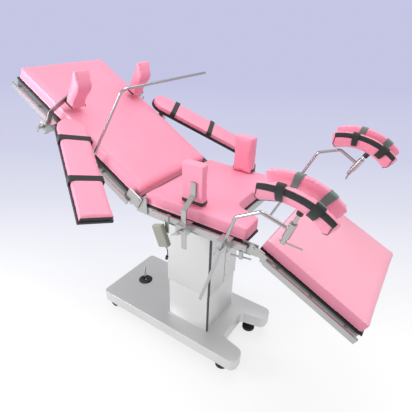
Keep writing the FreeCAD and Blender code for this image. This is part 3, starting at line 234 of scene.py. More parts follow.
def relief(tree, shader, height, distance, strength):
    """A bump from a height that changes over the surface."""
    bump = add(tree, "ShaderNodeBump")
    bump.inputs["Distance"].default_value = distance
    bump.inputs["Strength"].default_value = strength
    tree.links.new(height, bump.inputs["Height"])
    tree.links.new(bump.outputs["Normal"], shader.inputs["Normal"])


def two_tones(tree, shader, factor, low, high):
    """The base colour, moving between two tones."""
    mix = tree.nodes.new("ShaderNodeMix")
    mix.data_type = "RGBA"
    mix.inputs["A"].default_value = (*low, 1)
    mix.inputs["B"].default_value = (*high, 1)
    tree.links.new(factor, mix.inputs["Factor"])
    tree.links.new(mix.outputs["Result"], shader.inputs["Base Color"])


def vinyl(name, low, high):
    """Soft coated cloth with a fine grain and a slight gloss."""
    material = finish(name, high, roughness=0.42, coat=0.06)
    tree, shader, grain = patterned(material, GRAIN)
    two_tones(tree, shader, grain.outputs["Tone"], low, high)
    relief(tree, shader, grain.outputs["Height"], distance=0.00012, strength=0.35)
    return material


def brushed(name, low, high, roughness, metallic, stretch):
    """Brushed metal, its lines along the direction that is stretched least."""
    material = finish(name, high, roughness, metallic=metallic)
    tree, shader, lines = patterned(material, BRUSHED)
    lines.inputs["Stretch"].default_value = stretch
    two_tones(tree, shader, lines.outputs["Cloud"], low, high)
    relief(tree, shader, lines.outputs["Height"], distance=0.00005, strength=0.25)
    return material


def webbing(name, colour):
    """Woven strap, matt and ribbed."""
    material = finish(name, colour, roughness=0.8, sheen=0.25)
    tree, shader, weave = patterned(material, WEAVE)
    relief(tree, shader, weave.outputs["Height"], distance=0.0003, strength=0.5)
    return material


PINK = vinyl("pink vinyl", (0.88, 0.285, 0.41), (0.96, 0.35, 0.48))
# Painted light and shade: the deep pink is a shaded copy of the pink vinyl and the pale pink a lit copy, for the
# sides and the top of the leg pad
PAINTED_SHADE_PINK = vinyl("pink vinyl painted shade", (0.73, 0.235, 0.34), (0.80, 0.29, 0.40))
PAINTED_LIGHT_PINK = vinyl("pink vinyl painted light", (0.95, 0.40, 0.51), (1.0, 0.47, 0.58))
UPRIGHT_LINES = (500.0, 500.0, 8.0)
LENGTHWISE_LINES = (8.0, 500.0, 500.0)
SHEET_STEEL = brushed("brushed sheet", (0.65, 0.65, 0.65), (0.73, 0.73, 0.725),
                      roughness=0.46, metallic=0.75, stretch=UPRIGHT_LINES)
BAR_STEEL = brushed("brushed bar", (0.44, 0.44, 0.435), (0.56, 0.56, 0.555),
                    roughness=0.32, metallic=1.0, stretch=LENGTHWISE_LINES)
POLISHED = finish("polished rod", (0.48, 0.48, 0.485), 0.24, metallic=1.0)
DARK_PAINT = finish("dark frame paint", (0.05, 0.05, 0.055), 0.5)
BOARD_EDGE = finish("dark board", (0.022, 0.022, 0.024), 0.55)
RUBBER = finish("black rubber", (0.018, 0.018, 0.02), 0.7)
BLACK_WEB = webbing("black webbing", (0.016, 0.020, 0.019))
GREY_WEB = webbing("grey green webbing", (0.15, 0.20, 0.18))
BEIGE = finish("control case", (0.29, 0.29, 0.24), 0.45)
BLACK_PLASTIC = finish("black plastic", (0.015, 0.015, 0.016), 0.4)
TREAD = finish("castor tread", (0.03, 0.03, 0.03), 0.6)
# Dark grey for the panel's seam, a real gap, and for the strips at the column's near corner, which are a painted
# dark reflection
GAP_AND_PAINTED_REFLECTION = finish("panel gap and painted reflection", (0.06, 0.06, 0.065), 0.6)

BY_SLOT = {
    "stainless": BAR_STEEL,
    "polished_steel": POLISHED,
    "dark_frame": DARK_PAINT,
    "pink_vinyl": PINK,
    "backing_board": BOARD_EDGE,
    "black_rubber": RUBBER,
    "castor_tread": TREAD,
    "control_beige": BEIGE,
    "black_plastic": BLACK_PLASTIC,
}
record = frame["record"]
slot_of = {entry["node"]: entry["material_slot"] for entry in record["subparts"]}
body_of = {node: body for body, nodes in record["behaviour"]["bodies"].items() for node in nodes}


def paint_frame():
    """Every solid of the frame takes the finish of its slot."""
    for label, part in parts.items():
        part.data.materials.clear()
        part.data.materials.append(BY_SLOT[slot_of[label]])


# Frames of the sections that the straps lie on
def turned(origin, lean, swing):
    """A frame at a point, leaned towards the foot and swung about its own upright."""
    return Matrix.Translation(origin) @ Matrix.Rotation(lean, 4, "Y") @ Matrix.Rotation(swing, 4, "Z")


def arm_frame(side):
    """The frame of an arm board: along it, across it and up from its underside, at its pivot."""
    pivot = Vector(joints[f"arm_swing_{side}"]["pos_m"])
    normal = Vector(joints[f"arm_swing_{side}"]["axis"])
    return turned(pivot - normal * PIVOT_HEIGHT, BACK_REST, SIDES[side] * ARM_SWING)


def trough_frame(side):
    """The frame of a trough: along it, across it and up, at the middle of its rims."""
    joint = joints[f"trough_swivel_{side}"]
    axis = Vector(joint["axis"])
    lean = math.atan2(axis.x, axis.z)
    post = turned(Vector(joint["pos_m"]), lean, SIDES[side] * HOLDER_SWING)
    saddle = turned((0, 0, TROUGH_UNDER[side]), TROUGH_PITCH[side], TROUGH_TURN[side])
    return post @ saddle @ Matrix.Translation((0, 0, TROUGH_DEPTH + TROUGH_WALL))


# Upholstery. A padding says how fine its skin is, how many rounds ease the edges, how far the skin is
# drawn in first, how far it swells at most, and the pressure that swells it
Padding = namedtuple("Padding", "voxel rounds inset cap pressure")
SEAT_PADDING = Padding(0.007, 4, 0.002, 0.006, 4.0)
BACK_PADDING = Padding(0.008, 4, 0.002, 0.007, 4.0)
SUPPORT_PADDING = Padding(0.005, 6, 0.002, 0.005, 4.0)
ARM_PADDING = Padding(0.005, 4, 0.001, 0.004, 4.0)
TROUGH_PADDING = Padding(0.0045, 5, 0.001, 0.003, 2.0)
SWELL_FRAMES = 20
# A point that faces its board is held there: from this share of facing, and in full this much further on
HELD_FROM = 0.3
HELD_OVER = 0.5
# The skin of each padded piece, for what lies on it
skins = {}


def solid_copy(label, name):
    """A welded copy of one of the frame's solids."""
    piece = bpy.data.objects.new(name, parts[label].data.copy())
    bpy.context.scene.collection.objects.link(piece)
    outward_faces(piece)
    return piece


def remeshed(piece, voxel, rounds):
    """An even skin over the piece, with its edges eased."""
    skin = piece.modifiers.new("skin", "REMESH")
    skin.mode = "VOXEL"
    skin.voxel_size = voxel
    ease = piece.modifiers.new("ease", "SMOOTH")
    ease.factor = 0.5
    ease.iterations = rounds
    return baked(piece)


def blown(piece, cap, pressure):
    """The skin swells under pressure from inside, and no point moves further than the cap."""
    start = [v.co.copy() for v in piece.data.vertices]
    cloth = piece.modifiers.new("swell", "CLOTH")
    cloth.settings.use_pressure = True
    cloth.settings.uniform_pressure_force = pressure
    cloth.settings.effector_weights.gravity = 0
    cloth.settings.quality = 4
    cloth.point_cache.frame_start = 1
    cloth.point_cache.frame_end = SWELL_FRAMES
    for moment in range(1, SWELL_FRAMES + 1):
        bpy.context.scene.frame_set(moment)
    mesh = baked(piece).data
    bpy.context.scene.frame_set(1)
    for vertex, origin in zip(mesh.vertices, start):
        move = vertex.co - origin
        if move.length > 1e-9:
            vertex.co = origin + move.normalized() * cap * math.tanh(move.length / cap)
    return start


def upholstered(label, name, padding, material, down):
    """A padded piece grown from a cushion's solid: eased, blown up a little, flat where it rests."""
    piece = remeshed(solid_copy(label, name), padding.voxel, padding.rounds)
    normals = [v.normal.copy() for v in piece.data.vertices]
    for vertex, normal in zip(piece.data.vertices, normals):
        vertex.co = vertex.co - normal * padding.inset
    resting = [normal.vector.dot(down) for normal in piece.data.vertex_normals]
    start = blown(piece, padding.cap, padding.pressure)
    for vertex, origin, facing in zip(piece.data.vertices, start, resting):
        held = min(max((facing - HELD_FROM) / HELD_OVER, 0), 1)
        vertex.co = vertex.co.lerp(origin, held)
    finer = piece.modifiers.new("finer", "SUBSURF")
    finer.levels = 1
    finer.render_levels = 1
    baked(piece)
    piece.data.shade_smooth()
    finished(piece, material, body_of[label])
    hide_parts(label)
    points = [v.co for v in piece.data.vertices]
    skins[label] = BVHTree.FromPolygons(points, [tuple(p.vertices) for p in piece.data.polygons])
    return piece


def upholstery():
    """The lying surface, the hip and shoulder pads, the arm pads and the leg troughs."""
    down = Vector((0, 0, -1))
    back_down = -Vector(joints["shoulder_slide_near"]["axis"])
    leg_down = Vector((-math.sin(LEG_REST), 0, -math.cos(LEG_REST)))
    upholstered("seat_cushion", "seat_pad", SEAT_PADDING, PINK, down)
    upholstered("back_cushion", "back_pad", BACK_PADDING, PINK, back_down)
    leg_pad = upholstered("leg_cushion", "leg_pad", SEAT_PADDING, PAINTED_LIGHT_PINK, leg_down)
    # Painted light and shade: the top of the leg pad is the paler pink, painted light, and its side panels, all
    # that doesn't face up from its board, are the deeper pink, painted shade
    leg_pad.data.materials.append(PAINTED_SHADE_PINK)
    for face in leg_pad.data.polygons:
        face.material_index = int(face.normal.dot(leg_down) > -0.6)
    for side, sign in SIDES.items():
        outer = Vector((0, sign, 0))
        for pad, cushion, padding, resting in (
                ("hip_pad", "hip_cushion", SUPPORT_PADDING, outer),
                ("shoulder_pad", "shoulder_cushion", SUPPORT_PADDING, back_down),
                ("arm_pad", "arm_cushion", ARM_PADDING, back_down),
                ("leg_trough", "trough_cushion", TROUGH_PADDING, down)):
            upholstered(f"{pad}_{side}", f"{cushion}_{side}", padding, PINK, resting)


# Straps and edging. A pair of numbers is for the strap at the head end and the one at the foot end
ARM_STRAP_PLACES = (0.055, 0.285)
ARM_STRAP_WIDTH = 0.028
ARM_STRAP_THICK = 0.0022
BOARD_CORNER = 0.008
# Length across a trough's section from the outer edge of one rim to the outer edge of the other
SECTION = 0.2098
BAND_SAG = {"near": 0.008, "far": 0.003}
RIM_WEBBING_DEPTH = 0.021
BEAD_REACH = 0.100
BEAD_SHARES = (0.972, 0.985, 0.998)
STRAP_SHARES = {"near": ((-0.37, -0.20), (0.43, 0.53)), "far": ((-0.31, -0.20), (0.50, 0.54))}
STRAP_HALF = (0.0135, 0.0155)
KEEPER_HALF = (0.0135, 0.0165)
KEEPER_INSIDE = (0.014, 0.008)
KEEPER_DEPTH = 0.054
SLEEVE_RADIUS = 0.0115
SLEEVE_RISE = 0.022
HIP_BAND_HEIGHT = 0.020
SHOULDER_BAND_HEIGHT = 0.014


def slab(name, point, us, vs, low, high):
    """A closed strip over a surface: point(u, v, lift) gives the surface and the lift above it."""
    vertices = []
    for lift in (low, high):
        for u in us:
            for v in vs:
                vertices.append(point(u, v, lift))
    rows = len(us)
    cols = len(vs)
    layer = rows * cols
    faces = []
    for i in range(rows - 1):
        for j in range(cols - 1):
            a = i * cols + j
            b = a + cols
            faces.append((a, a + 1, b + 1, b))
            faces.append((layer + a, layer + b, layer + b + 1, layer + a + 1))
    # Round the border, to close the strip along its edges
    border = list(range(cols)) + [i * cols + cols - 1 for i in range(1, rows)]
    border += [(rows - 1) * cols + j for j in range(cols - 2, -1, -1)]
    border += [i * cols for i in range(rows - 2, 0, -1)]
    for k, a in enumerate(border):
        b = border[(k + 1) % len(border)]
        faces.append((a, b, layer + b, layer + a))
    piece = new_mesh(name, vertices, faces)
    outward_faces(piece)
    smooth(piece, 50)
    return piece


def steps(first, last, count):
    """Even steps from the first value to the last, both among them."""
    return [first + (last - first) * i / count for i in range(count + 1)]


def rounded_box_loop(half, low, high, corner, lift):
    """Points round a board's cross-section, across it and up, a little outside it."""
    points = []
    for y, z, start in ((half - corner, high - corner, 0), (-half + corner, high - corner, 90),
                        (-half + corner, low + corner, 180), (half - corner, low + corner, 270)):
        for turn in steps(start, start + 90, 6):
            angle = math.radians(turn)
            reach = corner + lift
            points.append((y + reach * math.cos(angle), z + reach * math.sin(angle)))
    return points


def arm_strap(side, index, along):
    """A flat strap round the arm pad and its board, pulled snug at the edges."""
    place = arm_frame(side)
    half, low, high = ARM_HALF + 0.0005, ARM_LOW - 0.0005, ARM_TOP + 0.0015
    inner, outer = (rounded_box_loop(half, low, high, BOARD_CORNER, lift)
                    for lift in (0.0, ARM_STRAP_THICK))
    count = len(inner)
    rings = [(inner, -1), (outer, -1), (outer, 1), (inner, 1)]
    vertices = [place @ Vector((along + end * ARM_STRAP_WIDTH / 2, y, z))
                for loop, end in rings for y, z in loop]
    faces = []
    for ring in range(len(rings)):
        here = ring * count
        following = (ring + 1) % len(rings) * count
        for i in range(count):
            j = (i + 1) % count
            faces.append((here + i, here + j, following + j, following + i))
    strap = new_mesh(f"arm_strap_{side}_{index}", vertices, faces)
    outward_faces(strap)
    smooth(strap, 50)
    finished(strap, BLACK_WEB, f"arm_{side}")


def laid(name, skin, rows, low, high):
    """A closed strip laid on a skin: the points of its rows move to the skin and are lifted off it."""
    found = [[skin.find_nearest(point) for point in row] for row in rows]
    base = [[spot[0] for spot in row] for row in found]

    def lifted(u, v, lift):
        du = base[min(u + 1, len(base) - 1)][v] - base[max(u - 1, 0)][v]
        dv = base[u][min(v + 1, len(base[0]) - 1)] - base[u][max(v - 1, 0)]
        facing = du.cross(dv).normalized()
        outwards = found[u][v][1]
        if facing.length < 0.5:
            facing = outwards
        if facing.dot(outwards) < 0:
            facing = -facing
        return base[u][v] + facing * lift
    return slab(name, lifted, range(len(base)), range(len(base[0])), low, high)


def arm_end_band(side):
    """The black end panel of an arm pad, above the edge of its board."""
    place = arm_frame(side)
    end = ARM_LENGTH - ARM_PIVOT
    rows = [[place @ Vector((end, y, z)) for z in steps(ARM_LOW + 0.013, ARM_TOP - 0.005, 6)]
            for y in steps(-ARM_HALF + 0.003, ARM_HALF - 0.003, 24)]
    band = laid(f"arm_end_band_{side}", skins[f"arm_pad_{side}"], rows, 0.0003, 0.0018)
    finished(band, BLACK_WEB, f"arm_{side}")


def trough_point(side, share, across, trimmed=False):
    """A point of a trough, from a share of its arch and a length across its section.

    The length starts at the outer edge of the rim at -Y. Trimmed, the share is of the arch that the
    rounded ends leave there.
    """
    inner = (TROUGH_INNER_HALF ** 2 + TROUGH_DEPTH ** 2) / (2 * TROUGH_DEPTH)
    outer = inner + TROUGH_WALL
    ring = TROUGH_ARCH + inner - TROUGH_DEPTH
    sunk = ring - TROUGH_ARCH
    rim_width = math.sqrt(outer ** 2 - sunk ** 2) - TROUGH_INNER_HALF
    inner_rim = math.acos(sunk / inner)
    middle = rim_width + inner * inner_rim
    # The section is the same on both sides of the bottom of the hollow
    side_of = 1 if across > middle else -1
    length = rim_width + inner * inner_rim - abs(across - middle)
    if length < 0:
        radius = outer
        angle = math.acos(sunk / outer) + length / outer
    elif length < rim_width:
        y = TROUGH_INNER_HALF + rim_width - length
        radius = math.hypot(y, sunk)
        angle = math.atan2(y, sunk)
    else:
        radius = inner
        angle = inner_rim - (length - rim_width) / inner
    reach = ring - radius * math.cos(angle)
    y = side_of * radius * math.sin(angle)
    limit = TROUGH_LIMIT
    if trimmed:
        rounded = math.sqrt(TROUGH_END_ROUND ** 2 - y ** 2)
        limit = min(limit, limit - TROUGH_END_ROUND / TROUGH_ARCH + math.asin(rounded / reach))
    arch = share * limit - TROUGH_BACK[side]
    return trough_frame(side) @ Vector((reach * math.sin(arch), y, reach * math.cos(arch) - TROUGH_ARCH))


def trough_edging(side):
    """Black webbing below one rim, and a bead round the outer edge of both ends."""
    skin = skins[f"leg_trough_{side}"]
    rows = []
    for share in steps(-0.985, 0.985, 48):
        top = 0.003 - BAND_SAG[side] * (1 - share ** 2)
        rows.append([trough_point(side, share, top - down, trimmed=True)
                     for down in steps(0.0, RIM_WEBBING_DEPTH, 6)])
    pieces = [laid(f"rim_webbing_{side}", skin, rows, 0.0003, 0.0026)]
    for label, end in (("head", -1), ("foot", 1)):
        lengths = [-down for down in steps(0.002, BEAD_REACH, 30)]
        lengths += [SECTION + down for down in steps(BEAD_REACH, 0.002, 30)]
        rows = [[trough_point(side, end * share, across, trimmed=True) for share in BEAD_SHARES]
                for across in lengths]
        pieces.append(laid(f"end_bead_{side}_{label}", skin, rows, -0.0005, 0.0018))
    for piece in pieces:
        finished(piece, BLACK_WEB, f"trough_{side}")


def trough_straps(side):
    """Two straps that lie in the hollow, each with a keeper folded over both rims."""
    skin = skins[f"leg_trough_{side}"]
    arch_half = TROUGH_LIMIT * TROUGH_ARCH
    for index, (first, last) in enumerate(STRAP_SHARES[side]):
        half = STRAP_HALF[index] / arch_half
        rows = []
        for aside in steps(-half, half, 5):
            row = []
            for across in steps(0.006, SECTION + 0.016, 60):
                share = first + (last - first) * across / SECTION
                row.append(trough_point(side, share + aside, across))
            rows.append(row)
        strap = laid(f"leg_strap_{side}_{index}", skin, rows, 0.0004, 0.0026)
        finished(strap, GREY_WEB, f"trough_{side}")
        half = KEEPER_HALF[index] / arch_half
        for label, share, start, end in (("near", first, KEEPER_INSIDE[index], -KEEPER_DEPTH),
                                         ("far", last, SECTION + 0.010, SECTION + KEEPER_DEPTH)):
            rows = [[trough_point(side, share + aside, across) for across in steps(start, end, 18)]
                    for aside in steps(-half, half, 6)]
            keeper = laid(f"strap_keeper_{side}_{index}_{label}", skin, rows, 0.0005, 0.0056)
            finished(keeper, BLACK_WEB, f"trough_{side}")


def knob_sleeve(side):
    """The black sleeve where the post enters the trough."""
    joint = joints[f"trough_swivel_{side}"]
    axis = Vector(joint["axis"])
    foot = Vector(joint["pos_m"]) + axis * POST_TOP[side]
    upright = axis.to_track_quat("Z", "Y").to_matrix().to_4x4()
    place = Matrix.Translation(foot + axis * SLEEVE_RISE / 2) @ upright
    shell = bmesh.new()
    bmesh.ops.create_cone(shell, cap_ends=True, segments=40, radius1=SLEEVE_RADIUS,
                          radius2=SLEEVE_RADIUS, depth=SLEEVE_RISE, matrix=place)
    sleeve = new_mesh(f"knob_sleeve_{side}", [], [])
    shell.to_mesh(sleeve.data)
    shell.free()
    smooth(sleeve)
    finished(sleeve, BLACK_PLASTIC, f"trough_{side}")


def pad_band(label, name, height, closed, up):
    """A dark band round the foot of a pad: on the side that it closes and the two beside it."""
    across = up.cross(closed)
    spots = [v.co for v in parts[label].data.vertices]
    near, far = (extreme(spot.dot(closed) for spot in spots) for extreme in (min, max))
    left, right = (extreme(spot.dot(across) for spot in spots) for extreme in (min, max))
    above_foot = 0.004
    foot = min(spot.dot(up) for spot in spots) + above_foot
    gap = 0.006
    route = [(d, left) for d in steps(near + gap, far, 12)]
    route += [(far, e) for e in steps(left, right, 24)]
    route += [(d, right) for d in steps(far, near + gap, 12)]
    rows = [[closed * d + across * e + up * (foot + rise) for rise in steps(0, height - above_foot, 5)]
            for d, e in route]
    band = laid(name, skins[label], rows, 0.0003, 0.0022)
    finished(band, BLACK_WEB, body_of[label])


def straps():
    """The straps, bands, edging and sleeves of both sides."""
    for side, sign in SIDES.items():
        for index, along in enumerate(ARM_STRAP_PLACES):
            arm_strap(side, index, along)
        arm_end_band(side)
        trough_edging(side)
        trough_straps(side)
        knob_sleeve(side)
        pad_band(f"hip_pad_{side}", f"hip_strip_{side}", HIP_BAND_HEIGHT,
                 Vector((0, sign, 0)), Vector((0, 0, 1)))
        up = Vector(joints[f"shoulder_slide_{side}"]["axis"])
        pad_band(f"shoulder_pad_{side}", f"shoulder_strip_{side}", SHOULDER_BAND_HEIGHT,
                 Vector((-up.z, 0, up.x)), up)


# Covers with eased edges: the turn in degrees that makes an edge sharp, and the place of the lever's hole
SHARP_FROM = 35
LEVER_HOLE = Vector((-0.428, 0, BASE_TOP))


def eased(label, name, width, material, chosen=None, segments=3):
    """A frame solid again, with its sharp edges rounded off."""
    piece = solid_copy(label, name)
    shell = bmesh.new()
    shell.from_mesh(piece.data)
    bmesh.ops.dissolve_limit(shell, angle_limit=math.radians(1), verts=shell.verts, edges=shell.edges)
    sharp = [e for e in shell.edges
             if len(e.link_faces) == 2 and e.calc_face_angle(0) > math.radians(SHARP_FROM)]
    if chosen:
        sharp = [e for e in sharp if chosen(e)]
    bmesh.ops.bevel(shell, geom=sharp, offset=width, segments=segments, profile=0.5, affect="EDGES",
                    clamp_overlap=True)
    shell.to_mesh(piece.data)
    shell.free()
    smooth(piece, SHARP_FROM)
    finished(piece, material, body_of[label])
    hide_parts(label)


def outer_top(edge):
    """Whether an edge is on the upper border of the base, and not round the mast or the lever."""
    level = all(abs(v.co.z - BASE_TOP) < 0.0001 for v in edge.verts)
    round_mast = all(abs(v.co.x) < 0.07 and abs(v.co.y) < 0.07 for v in edge.verts)
    round_lever = all((v.co - LEVER_HOLE).length < 0.03 for v in edge.verts)
    return level and not round_mast and not round_lever


def covers():
    """The sheet-metal covers of the base and the column."""
    eased("base_shroud", "base_cover", 0.006, SHEET_STEEL, outer_top, 4)
    eased("column_lower_cover", "lower_cover", 0.0012, SHEET_STEEL)
    eased("column_upper_cover", "upper_cover", 0.0015, SHEET_STEEL)


def column_trim():
    """The seam of the service panel on the foot side, and dark strips at the near corner that are a painted dark
    reflection.
    """
    seam_y = 0.012
    for name, body, low, high in (
            ("panel_seam", "lift",
             (COLUMN_X - 0.0004, seam_y - 0.001, COVER_SEAM + 0.004),
             (COLUMN_X + 0.0006, seam_y + 0.001, COVER_TOP - 0.01)),
            # Painted reflection: dark strips down the near corner of the upper and the lower covers, where the
            # metal corner reflects dark
            ("corner_painted_reflection", "lift",
             (COLUMN_X - 0.006, -COLUMN_Y - 0.0012, COVER_SEAM + 0.001),
             (COLUMN_X + 0.0012, -COLUMN_Y + 0.010, COVER_TOP - 0.002)),
            ("lower_corner_painted_reflection", "base",
             (COLUMN_X - 0.0105, -COLUMN_Y + 0.0033, BASE_TOP + 0.003),
             (COLUMN_X - 0.0033, -COLUMN_Y + 0.0145, COVER_SEAM + 0.03))):
        finished(new_box(name, low, high), GAP_AND_PAINTED_REFLECTION, body)


def new_box(name, low, high):
    """A box between two of its corners."""
    xs, ys, zs = zip(low, high)
    vertices = [(x, y, z) for x in xs for y in ys for z in zs]
    faces = [(0, 1, 3, 2), (4, 6, 7, 5), (0, 4, 5, 1), (2, 3, 7, 6), (0, 2, 6, 4), (1, 5, 7, 3)]
    box = new_mesh(name, vertices, faces)
    outward_faces(box)
    return box


# Screw heads in rows, made with geometry nodes
SCREW_RADIUS = 0.0035
SCREW_RISE = 0.0016
SCREWS_IN_ROW = 4
RAIL_SCREW_Y = 0.288
RAIL_SCREW_Z = 0.883


def screw_tree():
    """The geometry tree of a row: a screw head at each point of a line, all facing one way."""
    tree = bpy.data.node_groups.new("row of screws", "GeometryNodeTree")
    for label, kind, value in (("Start", "NodeSocketVector", (0.0, 0.0, 0.0)),
                               ("End", "NodeSocketVector", (0.0, 0.0, 1.0)),
                               ("Count", "NodeSocketInt", SCREWS_IN_ROW),
                               ("Radius", "NodeSocketFloat", SCREW_RADIUS),
                               ("Rise", "NodeSocketFloat", SCREW_RISE),
                               ("Facing", "NodeSocketVector", (0.0, 0.0, 0.0))):
        socket = tree.interface.new_socket(label, in_out="INPUT", socket_type=kind)
        socket.default_value = value
    tree.interface.new_socket("Finish", in_out="INPUT", socket_type="NodeSocketMaterial")
    tree.interface.new_socket("Geometry", in_out="OUTPUT", socket_type="NodeSocketGeometry")
    given = tree.nodes.new("NodeGroupInput")
    out = tree.nodes.new("NodeGroupOutput")
    line = tree.nodes.new("GeometryNodeMeshLine")
    line.mode = "END_POINTS"
    head = tree.nodes.new("GeometryNodeMeshCylinder")
    head.inputs["Vertices"].default_value = 20
    dome = tree.nodes.new("GeometryNodeMeshUVSphere")
    dome.inputs["Segments"].default_value = 16
    dome.inputs["Rings"].default_value = 8
    flat = tree.nodes.new("GeometryNodeTransform")
    flat.inputs["Scale"].default_value = (1.0, 1.0, 0.35)
    both = tree.nodes.new("GeometryNodeJoinGeometry")
    spread = tree.nodes.new("GeometryNodeInstanceOnPoints")
    real = tree.nodes.new("GeometryNodeRealizeInstances")
    paint = tree.nodes.new("GeometryNodeSetMaterial")
    link = tree.links.new
    link(given.outputs["Start"], line.inputs["Start Location"])
    link(given.outputs["End"], line.inputs["Offset"])
    link(given.outputs["Count"], line.inputs["Count"])
    link(given.outputs["Radius"], head.inputs["Radius"])
    link(given.outputs["Rise"], head.inputs["Depth"])
    link(given.outputs["Radius"], dome.inputs["Radius"])
    link(dome.outputs["Mesh"], flat.inputs["Geometry"])
    link(head.outputs["Mesh"], both.inputs["Geometry"])
    link(flat.outputs["Geometry"], both.inputs["Geometry"])
    link(line.outputs["Mesh"], spread.inputs["Points"])
    link(both.outputs["Geometry"], spread.inputs["Instance"])
    link(given.outputs["Facing"], spread.inputs["Rotation"])
    link(spread.outputs["Instances"], real.inputs["Geometry"])
    link(real.outputs["Geometry"], paint.inputs["Geometry"])
    link(given.outputs["Finish"], paint.inputs["Material"])
    link(paint.outputs["Geometry"], out.inputs["Geometry"])
    return tree


def screw_row(tree, name, start, end, facing, body):
    """A row of screw heads between two points, facing one way."""
    piece = new_mesh(name, [], [])
    modifier = piece.modifiers.new("row", "NODES")
    modifier.node_group = tree
    names = {item.name: item.identifier for item in tree.interface.items_tree if item.in_out == "INPUT"}
    values = {"Start": start, "End": end, "Count": SCREWS_IN_ROW, "Radius": SCREW_RADIUS,
              "Rise": SCREW_RISE, "Facing": facing, "Finish": POLISHED}
    for label, value in values.items():
        modifier[names[label]] = value
    baked(piece)
    smooth(piece)
    finished(piece, POLISHED, body)


def screws():
    """The screws of the column's panel and of the seat's rails."""
    tree = screw_tree()
    towards_foot = (0.0, math.pi / 2, 0.0)
    panel_y = 0.030
    screw_row(tree, "panel_screws", (COLUMN_X, panel_y, COVER_SEAM + 0.04),
              (COLUMN_X, panel_y, COVER_TOP - 0.06), towards_foot, "lift")
    for side, sign in SIDES.items():
        outwards = (-sign * math.pi / 2, 0.0, 0.0)
        screw_row(tree, f"seat_rail_screws_{side}", (-0.072, sign * RAIL_SCREW_Y, RAIL_SCREW_Z),
                  (0.362, sign * RAIL_SCREW_Y, RAIL_SCREW_Z), outwards, "table")


def lead():
    """The hand control's lead, which hangs from the case to its plug."""
    route = [(0.008745, -0.305, 0.749069), (0.013046, -0.305, 0.737866), (0.014046, -0.304, 0.720866),
             (0.009046, -0.303, 0.701866)]
    curve = bpy.data.curves.new("lead", "CURVE")
    curve.dimensions = "3D"
    curve.bevel_depth = 0.002
    curve.bevel_resolution = 4
    curve.resolution_u = 16
    curve.use_fill_caps = True
    spline = curve.splines.new("NURBS")
    spline.points.add(len(route) - 1)
    for point, place in zip(spline.points, route):
        point.co = (*place, 1)
    spline.order_u = 3
    spline.use_endpoint_u = True
    cable = bpy.data.objects.new("control_lead", curve)
    bpy.context.scene.collection.objects.link(cable)
    curve.materials.append(RUBBER)
    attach(cable, "table")
    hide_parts("pendant_lead")


# Floor, backdrop, camera and lights
CAMERA_PLACE = Vector((0.82526, -1.27630, 1.65660))
CAMERA_YAW = 0.5684
CAMERA_PITCH = 0.5046
CAMERA_ROLL = 0.0340
SENSOR_WIDTH = 36.0
LENS = 30.957
FAR_CLIP = 5000.0
BACKDROP = (0.56, 0.565, 0.78)
FLOOR_REACH = 2000.0
# Metres behind the camera's place where the floor's tones begin and end, and the tones between
FLOOR_TONES_SPAN = (1.5, 9.5)
FLOOR_TONES = ((0.19, (0.76, 0.77, 0.88)), (0.36, (0.64, 0.65, 0.82)))
# Share of the floor's own glow near the table, and the metres over which it rises to all
GLOW_NEAR = 0.75
GLOW_SPAN = (1.8, 4.0)
# Metres from the table over which the floor turns to backdrop on every side
FAR_OFF_SPAN = (5.0, 11.0)
SKY_LIGHT = (0.97, 0.97, 1.0)
SKY_STRENGTH = 0.62
TABLE_CENTRE = (0.0, 0.0, 0.9)
# Name, place, point that it faces, size and power of each lamp
LAMPS = (
    ("key", (-1.5, -1.6, 1.4), (-0.5, -0.2, 1.1), 0.9, 33),
    ("top", (0.3, 0.4, 3.6), TABLE_CENTRE, 2.6, 60),
    ("front", (1.8, -3.0, 1.8), TABLE_CENTRE, 2.4, 6),
)


def ranged(tree, span, low=0.0, high=1.0):
    """A node whose result runs from low to high while its value runs over the span."""
    start, end = span
    return add(tree, "ShaderNodeMapRange", from_min=start, from_max=end, to_min=low, to_max=high)


